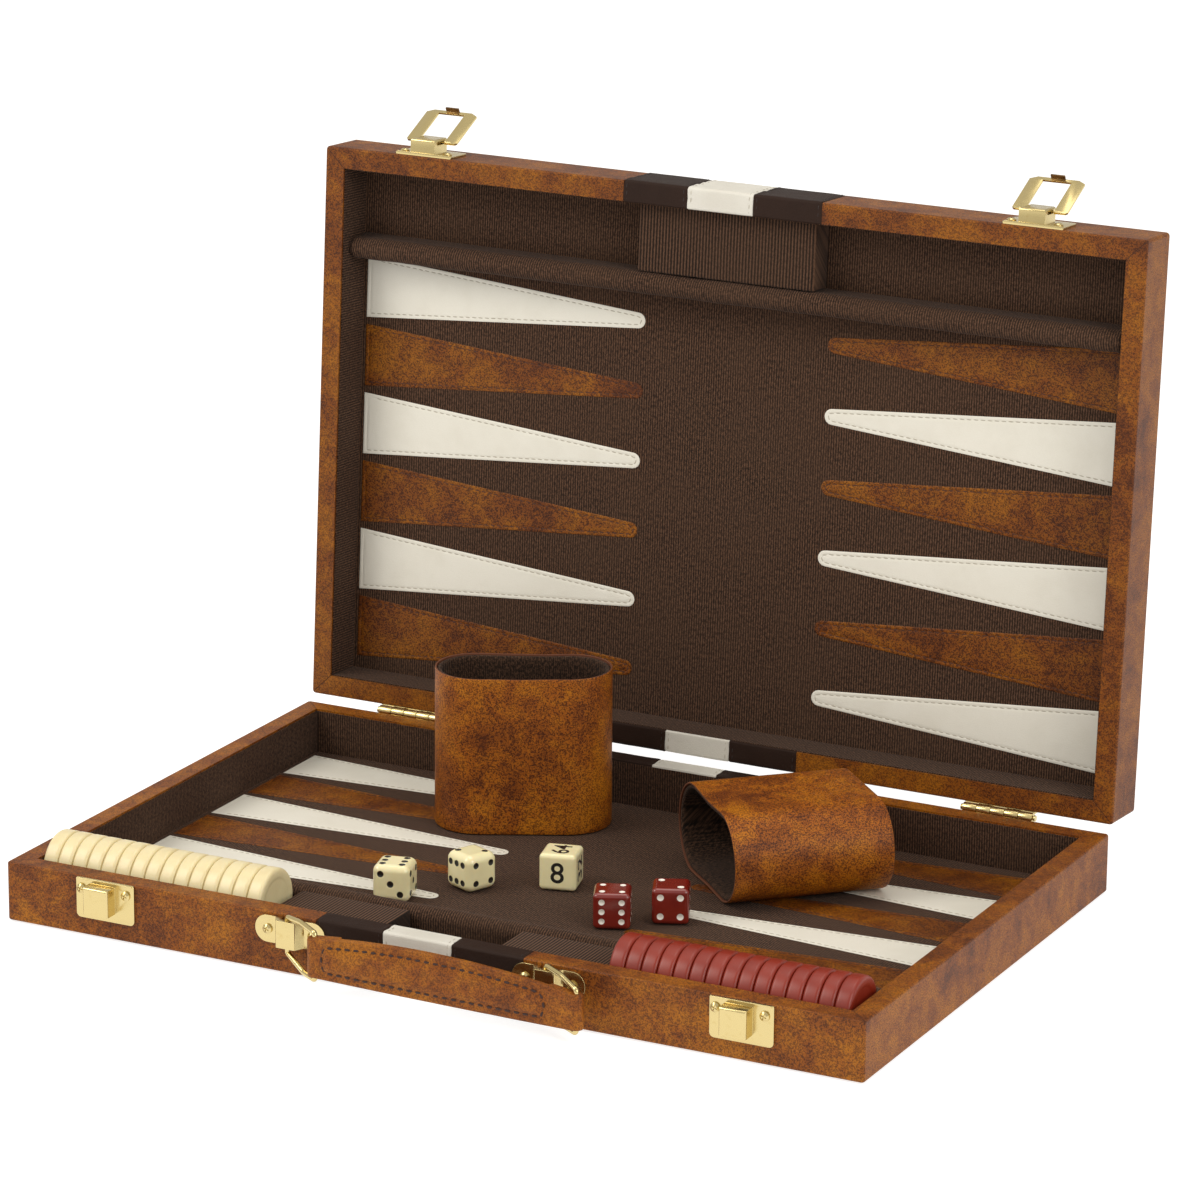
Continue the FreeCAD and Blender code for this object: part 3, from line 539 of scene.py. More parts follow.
# ------------------------------------------------------------------ brass fittings with broken edges
for nm in ("keeper_left", "keeper_right", "handle_bracket_left", "handle_bracket_right", "hinge_leaf_base_left", "hinge_leaf_base_right"):
    bevel_copy(nm, 0.28 if "hinge" not in nm else 0.15, M["brass_base"])
for nm in ("latch_plate_left", "latch_plate_right", "latch_loop_left", "latch_loop_right", "hinge_leaf_lid_left", "hinge_leaf_lid_right"):
    ob = bevel_copy(nm, 0.22 if "hinge" not in nm else 0.15, M["brass_lid"])
    if "loop" in nm:
        # the catch bent out of the sheet is darkened metal
        me = ob.data
        me.materials.append(M["bronze"])
        face = max(me.polygons, key=lambda q: q.area)
        nrm, org = face.normal.copy(), face.center.copy()
        off = [(v.co - org).dot(nrm) for v in me.vertices]
        for q in me.polygons:
            if max(abs(off[i] + 0.0005) for i in q.vertices) > 0.0012:
                q.material_index = 1

# ------------------------------------------------------------------ sewn points
def point_ring(d, nb=3, ns=30, na=9):
    """Outline of a point, moved in by d mm: base edge, upper side, tip arc, lower side. Fixed count."""
    r, half = POINT_TIP_R, POINT_W / 2
    xt = POINT_LEN - r
    dist = math.hypot(xt, half)
    ang = math.pi - math.atan2(half, xt) - math.acos(r / dist)
    ca, sa = math.cos(ang), math.sin(ang)
    q = r - d
    vb = (q - (d - xt) * ca) / sa
    pts = []
    for i in range(nb):
        t = i / nb
        pts.append((d, -vb + 2 * vb * t))
    if q > 0:
        tip = [(xt + q * math.cos(ang - 2 * ang * i / (na - 1)), q * math.sin(ang - 2 * ang * i / (na - 1))) for i in range(na)]
    else:
        tip = [(xt + q / ca, 0.0)] * na
    for i in range(ns):
        t = i / ns
        pts.append((d + (tip[0][0] - d) * t, vb + (tip[0][1] - vb) * t))
    pts += tip
    for i in range(1, ns + 1):
        t = i / ns
        pts.append((tip[-1][0] + (d - tip[-1][0]) * t, tip[-1][1] + (-vb - tip[-1][1]) * t))
    return pts[:-1], (vb, tip, ang)


def sewn_point(side, yc, seed):
    nb, ns, na = 3, 30, 9
    prof = [(0.0, -0.35), (0.0, 0.10), (0.18, 0.19), (0.55, 0.245), (1.15, 0.25), (1.45, 0.15), (1.65, 0.12), (1.85, 0.16), (2.25, 0.255), (2.9, 0.275)]
    V, F = [], []
    for d, z in prof:
        ring, info = point_ring(d, nb, ns, na)
        for (u, v) in ring:
            V.append((u, v, z))
    n = len(ring)
    for k in range(len(prof) - 1):
        for i in range(n):
            a, b = k * n + i, k * n + (i + 1) % n
            F.append((a, b, b + n, a + n))
    # middle: rows from the upper side to the lower side
    last = (len(prof) - 1) * n
    up_i = list(range(nb, nb + ns)) + [nb + ns + j for j in range(na // 2 + 1)]
    lo_i = [0] + list(range(n - 1, nb + ns + na - 1, -1)) + [nb + ns + na - 1 - j for j in range(na // 2 + 1)]
    lo_i = lo_i[:len(up_i)]
    cols = 5
    rows = []
    for a, b in zip(up_i, lo_i):
        if a == b:
            rows.append([last + a] * (cols + 1))
            continue
        pa, pb = V[last + a], V[last + b]
        row = [last + a]
        for c in range(1, cols):
            t = c / cols
            puff = 0.02 * math.sin(math.pi * t)
            V.append((pa[0] + (pb[0] - pa[0]) * t, pa[1] + (pb[1] - pa[1]) * t, prof[-1][1] + puff))
            row.append(len(V) - 1)
        row.append(last + b)
        rows.append(row)
    for r0, r1 in zip(rows[:-1], rows[1:]):
        for c in range(cols):
            f = [r0[c], r1[c], r1[c + 1], r0[c + 1]]
            g = [x for i, x in enumerate(f) if x not in f[:i]]
            if len(g) >= 3:
                F.append(tuple(g))
    base_edge = [last + i for i in range(0, nb + 1)]
    F.append(tuple(base_edge + [x for x in reversed(rows[0][1:-1])]))
    V = np.array(V)
    # slight unevenness of the sewn edge
    V[:, 2] += 0.02 * wobble(np.c_[V[:, :2], np.full(len(V), seed * 13.0)], 9, 3) * (V[:, 2] > 0.1)
    out = np.empty_like(V)
    out[:, 0] = side * (POINT_BASE_X - V[:, 0])
    out[:, 1] = yc + V[:, 1]
    out[:, 2] = FLOOR_Z + np.minimum(V[:, 2], 0.30)
    if side > 0:
        F = [tuple(reversed(f)) for f in F]
    return out, F


def stitch_mesh(paths, pitch, length, rad, flat=0.6, n=6, seed=5, normal=None):
    """Small flattened threads along paths of (position, surface normal) in local mm."""
    g = np.random.default_rng(seed)
    V, F = [], []
    ring = [(-1.0, 0.0), (-0.82, 0.62), (-0.35, 0.95), (0.35, 0.95), (0.82, 0.62), (1.0, 0.0)]
    for pts, nrm in paths:
        pts = np.asarray(pts, float)
        nrm = np.asarray(nrm, float)
        seg = np.linalg.norm(np.diff(pts, axis=0), axis=1)
        s = np.r_[0, np.cumsum(seg)]
        count = max(1, int(s[-1] / pitch))
        step = s[-1] / count
        for k in range(count):
            c = (k + 0.5) * step
            a, b = c - length / 2, c + length / 2
            pa = np.array([np.interp(a, s, pts[:, j]) for j in range(3)])
            pb = np.array([np.interp(b, s, pts[:, j]) for j in range(3)])
            nn = np.array([np.interp(c, s, nrm[:, j]) for j in range(3)])
            nn /= np.linalg.norm(nn)
            t = pb - pa
            ln = np.linalg.norm(t)
            if ln < 1e-6:
                continue
            t /= ln
            w = np.cross(nn, t)
            w /= np.linalg.norm(w)
            t = t * math.cos(0.06) + w * math.sin(0.06) * g.uniform(0.4, 1.6)
            t /= np.linalg.norm(t)
            mid = (pa + pb) / 2
            base = len(V)
            for q, rr in ring:
                for i in range(n):
                    an = 2 * math.pi * i / n
                    V.append(mid + t * q * ln / 2 + w * math.cos(an) * rad * rr + nn * math.sin(an) * rad * flat * rr
                             + nn * rad * 0.25 * (1 - q * q))
            F += grid_faces(len(ring), n, wv=True, base=base)
    return np.array(V), F


COLOURS = {"base": ("bwbwbw", "wbwbwb"), "lid": ("wbwbwb", "bwbwbw")}
for half in ("base", "lid"):
    for key, mat, th in (("w", "white", "thread_white_shaded"), ("b", "leather", "thread_brown")):
        VV, FF, paths = [], [], []
        for si, side in enumerate((-1, 1)):
            for k, yc in enumerate(ROWS):
                if COLOURS[half][si][k] != key:
                    continue
                v, f = sewn_point(side, yc, k + 6 * si)
                FF += [tuple(x + len(VV) for x in q) for q in f]
                VV += v.tolist()
                ring, _ = point_ring(1.62, 3, 30, 9)
                ring = ring[3:]      # the two long sides and the tip
                pts = [(side * (POINT_BASE_X - u), yc + w, FLOOR_Z + 0.15) for u, w in ring]
                paths.append((pts, [(0, 0, 1)] * len(pts)))
        nm = "white" if key == "w" else "brown"
        ob = weld(make(f"{half}_sewn_points_{nm}", VV, FF, M[mat], half))
        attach(ob, half)
        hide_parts(f"{half}_points_{nm}")
        sv, sf = stitch_mesh(paths, 3.1, 2.25, 0.24, seed=11)
        st = make(f"{half}_point_stitches_{nm}", sv, sf, M[th], half)
        st.parent = ob

# ------------------------------------------------------------------ stripes round the case
STRIPES = [(-46.0, -16.0, "dark"), (-16.0, 14.4, "white"), (14.4, 46.0, "dark")]


def stripe_path():
    """Section of the band in y, z with rounded corners: inside lip, rim, front, underneath, back, rim."""
    r = 1.0
    corners = [(-113.0, SHELL_H - 0.9), (-113.0, SHELL_H), (-W2, SHELL_H), (-W2, 0.0), (W2, 0.0), (W2, SHELL_H), (113.0, SHELL_H), (113.0, SHELL_H - 0.9)]
    radii = [0, 0.45, r, r, r, r, 0.45, 0]
    lift = [0.10, 0.18, 0.34, 0.02, 0.02, 0.34, 0.18, 0.10]
    pts, kind = [], []
    for i, (c, rr) in enumerate(zip(corners, radii)):
        if rr == 0:
            pts.append(c)
            continue
        a, b = np.array(corners[i - 1]), np.array(corners[i + 1])
        c = np.array(c, float)
        u, w = (a - c) / np.linalg.norm(a - c), (b - c) / np.linalg.norm(b - c)
        cen = c + (u + w) * rr
        for t in np.linspace(0, math.pi / 2, 7):
            pts.append(tuple(cen - w * rr * math.cos(t) - u * rr * math.sin(t)) if False else tuple(cen - w * rr * (math.cos(t)) - u * rr * math.sin(t)))
    # fill long spans
    out = [pts[0]]
    for p in pts[1:]:
        q = out[-1]
        d = math.hypot(p[0] - q[0], p[1] - q[1])
        k = max(1, int(d / 1.6))
        for j in range(1, k + 1):
            out.append((q[0] + (p[0] - q[0]) * j / k, q[1] + (p[1] - q[1]) * j / k))
    return np.array(out)


SP = stripe_path()
tan = np.gradient(SP, axis=0)
tan /= np.linalg.norm(tan, axis=1)[:, None] + 1e-12
SN = np.c_[-tan[:, 1], tan[:, 0]]     # outward for a path that runs front rim -> under -> back rim
mid_check = SN[np.argmin(np.abs(SP[:, 1] - 12) + (SP[:, 0] > 0) * 999)]
if mid_check[0] > 0:
    SN = -SN
slen = np.r_[0, np.cumsum(np.linalg.norm(np.diff(SP, axis=0), axis=1))]
lift = np.where(SP[:, 1] > SHELL_H - 0.6, 0.17, np.where(SP[:, 1] < 0.6, 0.0, 0.34))
lift = np.convolve(np.r_[[lift[0]] * 2, lift, [lift[-1]] * 2], np.ones(5) / 5, "valid")


def stripe(half, x0, x1, kind, seed):
    cols = [(x0, -0.34), (x0 + 0.02, -0.05), (x0 + 0.22, 0.62), (x0 + 0.6, 1.0), (x0 + 1.1, 1.02), (x0 + 1.7, 0.86), (x0 + 2.6, 0.93), (x0 + 4.5, 0.97)]
    inner = [(x, 0.97) for x in np.linspace(x0 + 7, x1 - 7, 9)]
    cols = cols + inner + [(x0 + x1 - x, g) for x, g in reversed(cols)]
    V = []
    for x, gfac in cols:
        edge = math.exp(-(min(x - x0, x1 - x) / 2.2) ** 2)
        pk = wobble(np.c_[np.full(len(SP), x * 0.35 + seed), SP], 5.5, seed, 2)
        off = (lift * gfac if gfac > 0 else np.full(len(SP), gfac)) + 0.15 * edge * pk * (lift > 0.02) + 0.05 * pk * (lift > 0.02)
        off = np.where(lift <= 0.02, np.minimum(off, 0.0), off)
        p = SP + SN * off[:, None]
        for q in p:
            V.append((x, q[0], q[1]))
    V = np.array(V)
    V[:, 2] = np.minimum(V[:, 2], MID_Z - 0.04)     # the two rims stay apart when the case is shut
    F = grid_faces(len(cols), len(SP), flip=True)
    ob = make(f"{half}_stripe_{seed}", V, F, M["white_stripe" if kind == "white" else "dark"], half)
    return ob


for half in ("base", "lid"):
    darks = []
    for k, (x0, x1, kind) in enumerate(STRIPES):
        ob = weld(stripe(half, x0, x1, kind, k + 1))
        ob.name = f"{half}_stripe_{('left', 'middle', 'right')[k]}"
        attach(ob, half)
        if kind == "white":
            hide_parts(f"{half}_stripe_white")
        else:
            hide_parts(f"{half}_stripes_dark")
        keep = np.where(lift > 0.02)[0]
        front = keep[SP[keep, 0] < 0]
        back = keep[SP[keep, 0] > 0]
        paths = []
        for sel in (front, back):
            for xx in (x0 + 1.7, x1 - 1.7):
                P = SP[sel] + SN[sel] * (lift[sel] * 0.86)[:, None]
                paths.append((np.c_[np.full(len(sel), xx), P], np.c_[np.zeros(len(sel)), SN[sel]]))
        sv, sf = stitch_mesh(paths, 2.9, 2.0, 0.2, seed=21 + k)
        st = make(f"{half}_stripe_stitches_{k}", sv, sf, M["thread_white_shaded" if kind == "white" else "thread_dark"], half)
        st.parent = ob

# ------------------------------------------------------------------ padded rails
def rail(half, seed):
    xi = L2 - WALL - LINING - 0.05
    yr0, yr1 = RAIL_Y0, RAIL_Y0 + RAIL_W
    ym, sh = (yr0 + yr1) / 2, RAIL_TOP - 5.0
    sec = [(yr0, FLOOR_Z), (yr0, FLOOR_Z + 2.5), (yr0, FLOOR_Z + 6), (yr0, sh - 2.0)]
    for t in np.linspace(0, math.pi, 17):
        sec.append((ym - 5.2 * math.cos(t), sh + 5.0 * math.sin(t)))
    sec += [(yr1, sh - 2.0), (yr1, FLOOR_Z + 6), (yr1, FLOOR_Z + 2.5), (yr1, FLOOR_Z)]
    sec = np.array(sec)
    xs = np.r_[np.linspace(-xi, -xi + 12, 14), np.linspace(-xi + 14, xi - 14, 150), np.linspace(xi - 12, xi, 14)]
    V = []
    for x in xs:
        d = xi - abs(x)
        s = 1 - 0.20 * math.exp(-(d / 1.4) ** 2) - 0.05 * math.exp(-((d - 5) / 3.0) ** 2)
        p = np.c_[np.full(len(sec), x), sec]
        w = wobble(p, 46, seed, 2) * 0.22 + wobble(p, 9, seed + 5, 2) * 0.10
        puck = math.exp(-(d / 7) ** 2) * 0.25 * np.sin(np.arange(len(sec)) * 1.9 + seed)
        c = np.array([ym, sh - 3])
        dirs = sec - c
        ln = np.linalg.norm(dirs, axis=1)[:, None]
        q = c + dirs * (s) + dirs / ln * (w + puck - 0.42)[:, None]
        q[0] = (yr0 + 0.3, FLOOR_Z)
        q[-1] = (yr1 - 0.3, FLOOR_Z)
        q[:, 0] = np.clip(q[:, 0], yr0 + 0.02, yr1 - 0.02)
        V += [(x, a, b) for a, b in q]
    n = len(sec)
    F = grid_faces(len(xs), n)
    F.append(tuple(range(n)))
    F.append(tuple(reversed(range((len(xs) - 1) * n, len(xs) * n))))
    F.append(tuple())
    F = [f for f in F if f]
    ob = make(f"{half}_padded_rail", V, F, M["cloth"], half, sharp=60)
    weld(ob)
    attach(ob, half)
    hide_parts(f"{half}_rail")
    return ob


rail("base", 3)
rail("lid", 8)

for nm, mat in (("base_gutter_blocks", "block_base"), ("lid_gutter_block", "block_lid")):
    bevel_copy(nm, 1.1, M[mat], segments=4, name=nm + "_covered")

# ------------------------------------------------------------------ dice cups
def oval_ring(inset, n=96):
    """Stadium outline; the same count for every inset."""
    a, b = CUP_L - inset, CUP_W - inset
    s = CUP_L - CUP_W
    pts = []
    nq = n // 4
    for i in range(nq):
        t = -math.pi / 2 + math.pi * i / nq
        pts.append((s + b * math.cos(t), b * math.sin(t)))
    for i in range(nq):
        pts.append((s - 2 * s * i / nq, b))
    for i in range(nq):
        t = math.pi / 2 + math.pi * i / nq
        pts.append((-s + b * math.cos(t), b * math.sin(t)))
    for i in range(nq):
        pts.append((-s + 2 * s * i / nq, -b))
    return np.array(pts)


def loft(profile, mats_by_row, shape=None, cap_first=None, cap_last=None, n=96):
    V, F, idx = [], [], []
    for k, (inset, z) in enumerate(profile):
        ring = oval_ring(inset, n)
        zz = np.full(n, z)
        p = np.c_[ring, zz]
        if shape is not None:
            p = shape(p, inset, z)
        V += p.tolist()
    for k in range(len(profile) - 1):
        for i in range(n):
            a, b = k * n + i, k * n + (i + 1) % n
            F.append((a, b, b + n, a + n))
            idx.append(mats_by_row[k])
    if cap_first is not None:
        F.append(tuple(reversed(range(n))))
        idx.append(cap_first)
    if cap_last is not None:
        b = (len(profile) - 1) * n
        F.append(tuple(range(b, b + n)))
        idx.append(cap_last)
    return V, F, idx


def cup(tag, place, seed):
    H = CUP_H

    def shape(p, inset, z):
        w = wobble(p * np.array([1, 1, 0.4]), 60, seed, 1) * 0.12
        ang = np.arctan2(p[:, 1], p[:, 0])
        if z > H - 4:
            p[:, 2] += -0.30 + 0.22 * np.sin(2 * ang + seed) + 0.08 * np.sin(5 * ang)
        r = np.linalg.norm(p[:, :2], axis=1)[:, None]
        mouth = math.exp(-((H - z) / 16) ** 2)
        # the broad sides give a little at the mouth
        flat = np.exp(-(p[:, 0] / 16) ** 2)
        p[:, 1] -= np.sign(p[:, 1]) * 0.55 * mouth * flat
        p[:, :2] -= p[:, :2] / r * (0.14 + w * 0.5)[:, None]
        return p

    t = 0.75
    prof = [(1.6, 0.0), (0.55, 0.02), (0.15, 0.28), (0.0, 0.9), (0.0, 3)]
    prof += [(0.0, z) for z in np.linspace(7, H - 6, 15)]
    prof += [(0.0, H - 3), (0.0, H - 1.0), (0.03, H - 0.35), (0.14, H - 0.06), (0.30, H), (0.55, H), (t, H - 0.12), (t + 0.05, H - 0.9), (t + 0.05, H - 4)]
    rows = [0] * (len(prof) - 1)
    for k in range(len(rows)):
        if prof[k][0] >= 0.14 and prof[k][1] > H - 1:
            rows[k] = 1
    V, F, idx = loft(prof, rows, shape, cap_first=0)
    ob = make(f"dice_cup_{tag}_leather", V, F, [M["leather_cup"], M["edge_tan"]], idx=idx, place=place)
    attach(ob, f"dice_cup_{tag}")
    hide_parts(f"dice_cup_{tag}")
    i = 3.0
    prof = [(t + 0.06, H - 4), (t + 0.06, H - 1.4), (1.15, H - 0.75), (1.6, H - 0.55), (2.1, H - 0.6), (2.6, H - 0.95), (i - 0.1, H - 1.6), (i, H - 3)]
    prof += [(i, z) for z in np.linspace(H - 8, 9, 12)]
    prof += [(i, 5.4), (i + 0.4, 4.3), (i + 1.4, 3.85)]
    V, F, idx = loft(prof, [0] * (len(prof) - 1), shape, cap_last=0)
    li = make(f"dice_cup_{tag}_fabric", V, F, [M["cloth_cup"]], idx=idx, place=place)
    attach(li, f"dice_cup_{tag}")
    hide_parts(f"dice_cup_{tag}_lining")


def T(x, y, z):
    return np.array(Matrix.Translation((x, y, z)))


def R(axis, deg):
    return np.array(Matrix.Rotation(math.radians(deg), 4, axis))


cup(1, T(-56.4, 71.9, PIECE_Z) @ R("Z", 27.0), 2)
cup(2, T(48.2, 33.5, PIECE_Z + CUP_W) @ R("Z", 44.1 - 90) @ R("X", 90) @ T(0, 0, -CUP_H), 6)

# ------------------------------------------------------------------ checkers
def checker_profile():
    """(x across the thickness, radius)."""
    half = [(0.34, 0.0), (0.34, 5.0), (0.33, 8.9), (0.24, 9.5), (0.07, 10.0), (0.0, 10.5), (0.0, 11.9), (0.05, 12.45), (0.19, 12.88),
            (0.42, 13.24), (0.70, 13.47), (0.98, 13.61), (1.25, 13.68), (1.6, 13.7), (3.35, 13.7)]
    return half + [(6.7 - x, r) for x, r in reversed(half[:-1])]


def checkers(name, node, x_start, mat, seed):
    prof = checker_profile()
    g = np.random.default_rng(seed)
    V, F = [], []
    n = 72
    for k in range(15):
        x0 = x_start + 6.8 * k + 0.02
        base = len(V)
        for px, pr in prof:
            for i in range(n):
                t = 2 * math.pi * i / n
                V.append((x0 + px, -97.7 + pr * math.cos(t), FLOOR_Z + 13.72 + pr * math.sin(t)))
        F += grid_faces(len(prof), n, wv=True, base=base, flip=True)
    ob = weld(make(name, V, F, mat, sharp=0), 1e-7)
    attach(ob, node)
    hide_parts(node)
    return ob


checkers("cream_checker_row", "cream_checkers", -180.0, M["ivory"], 1)
checkers("red_checker_row", "red_checkers", 76.6, M["red"], 2)

# ------------------------------------------------------------------ dice
LAYOUT = {
    1: [(0, 0)],
    2: [(-1, 1), (1, -1)],
    3: [(-1, 1), (0, 0), (1, -1)],
    4: [(-1, -1), (-1, 1), (1, -1), (1, 1)],
    5: [(-1, -1), (-1, 1), (1, -1), (1, 1), (0, 0)],
    6: [(-1, -1), (-1, 0), (-1, 1), (1, -1), (1, 0), (1, 1)],
    "6h": [(-1, -1), (0, -1), (1, -1), (-1, 1), (0, 1), (1, 1)],
    "2f": [(1, 1), (-1, -1)],
    "3f": [(-1, -1), (0, 0), (1, 1)],
}
# face name -> (normal, a axis, b axis): a points right, b points up, seen from outside
FACES = {
    "front": ((0, -1, 0), (1, 0, 0), (0, 0, 1)),
    "back": ((0, 1, 0), (-1, 0, 0), (0, 0, 1)),
    "right": ((1, 0, 0), (0, 1, 0), (0, 0, 1)),
    "left": ((-1, 0, 0), (0, -1, 0), (0, 0, 1)),
    "top": ((0, 0, 1), (1, 0, 0), (0, 1, 0)),
    "bottom": ((0, 0, -1), (1, 0, 0), (0, -1, 0)),
}


def die_mesh(side, r, spec, rp=1.30, depth=0.42, spread=0.265, n=52, sag=0.0):
    h = side / 2
    V, F, D = [], [], []
    for fname, (nm, ax, bx) in FACES.items():
        nm, ax, bx = map(np.array, (nm, ax, bx))
        pips = [(a * spread * side, b * spread * side) for a, b in LAYOUT.get(spec.get(fname), [])]
        t = np.linspace(-1, 1, n)
        # finer near the edges, where the face rounds off
        t = np.sign(t) * (1 - (1 - np.abs(t)) ** 1.12)
        A, B = np.meshgrid(t * h, t * h, indexing="ij")
        A, B = A.ravel(), B.ravel()
        P = nm * h + A[:, None] * ax + B[:, None] * bx
        inner = np.clip(P, -(h - r), h - r)
        d = P - inner
        ln = np.linalg.norm(d, axis=1)[:, None]
        Q = inner + d / np.maximum(ln, 1e-9) * r
        dist = np.full(len(Q), 9.0)
        for pa, pb in pips:
            q = np.hypot(A - pa, B - pb)
            dist = np.minimum(dist, q - rp)
            cap = np.clip(1 - (q / rp) ** 2, 0, None)
            Q -= nm * (depth * cap ** 0.8)[:, None]
        base = len(V)
        V += Q.tolist()
        D += dist.tolist()
        F += grid_faces(n, n, base=base, flip=bool(np.dot(np.cross(ax, bx), nm) < 0))
    return np.array(V), F, D


def die(name, x, y, turn, side, r, spec, mat, slot, **kw):
    V, F, D = die_mesh(side * 0.998, r, spec, **kw)
    place = T(x, y, PIECE_Z + side / 2) @ R("Z", turn)
    ob = make(name + "_body", V, F, mat, place=place, extra={"pip": D}, sharp=0)
    weld(ob, 5e-7)
    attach(ob, name)
    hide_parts(name)
    return ob


die("cream_die_1", -57.8, -37.2, 14.0, 15.6, 3.0, {"top": 6, "front": 3, "right": 5, "left": 2, "back": 4, "bottom": 1}, M["ivory_die"], "ivory", rp=1.42)
die("cream_die_2", -36.2, -11.7, -23.0, 15.8, 3.6, {"front": "6h", "right": 4, "top": "2f", "back": 1, "left": 3, "bottom": 5}, M["ivory_die"], "ivory", rp=1.38, spread=0.245)
die("red_die_1", 34.8, -24.2, 24.0, 15.2, 2.0, {"front": 6, "top": 4, "right": 5, "left": 2, "back": 1, "bottom": 3}, M["red_die"], "red", rp=1.30)
die("red_die_2", 53.0, -7.9, 24.0, 15.2, 2.0, {"front": 4, "top": 2, "right": 6, "left": 1, "back": 3, "bottom": 5}, M["red_die"], "red", rp=1.42)

side = 15.6
cube = die("doubling_cube", -4.6, 7.2, 14.6, side, 1.8, {}, M["ivory_die"], "ivory", n=30)
place = T(-4.6, 7.2, PIECE_Z + side / 2) @ R("Z", 14.6)
for fname, text, turn, size in (("front", "8", 0, 12.3), ("top", "64", 90, 10.6), ("right", "32", 90, 10.6), ("left", "2", 0, 12.0), ("back", "4", 0, 12.0), ("bottom", "16", 0, 10.6)):
    nm, ax, bx = (np.array(q, float) for q in FACES[fname])
    cu = bpy.data.curves.new("numeral_" + text, "FONT")
    cu.body = text
    cu.size = size
    cu.align_x = "CENTER"
    cu.align_y = "CENTER"
    cu.offset = 0.12
    cu.extrude = 0.02
    cu.resolution_u = 6
    tmp = bpy.data.objects.new("numeral_tmp", cu)
    scene.collection.objects.link(tmp)
    bpy.context.view_layer.update()
    me = bpy.data.meshes.new_from_object(tmp.evaluated_get(bpy.context.evaluated_depsgraph_get()))
    bpy.data.objects.remove(tmp)
    co = np.array([v.co for v in me.vertices])
    co[:, :2] -= (co[:, :2].min(0) + co[:, :2].max(0)) / 2
    a = math.radians(turn)
    rot = co[:, 0] * math.cos(a) - co[:, 1] * math.sin(a), co[:, 0] * math.sin(a) + co[:, 1] * math.cos(a)
    P = np.outer(rot[0], ax) + np.outer(rot[1], bx) + nm * (side * 0.998 / 2 + 0.0) + np.outer(co[:, 2], nm)
    F = [tuple(p.vertices) for p in me.polygons]
    ob = make("doubling_numeral_" + text, P, F, M["ink"], place=place, sharp=30)
    ob.parent = cube

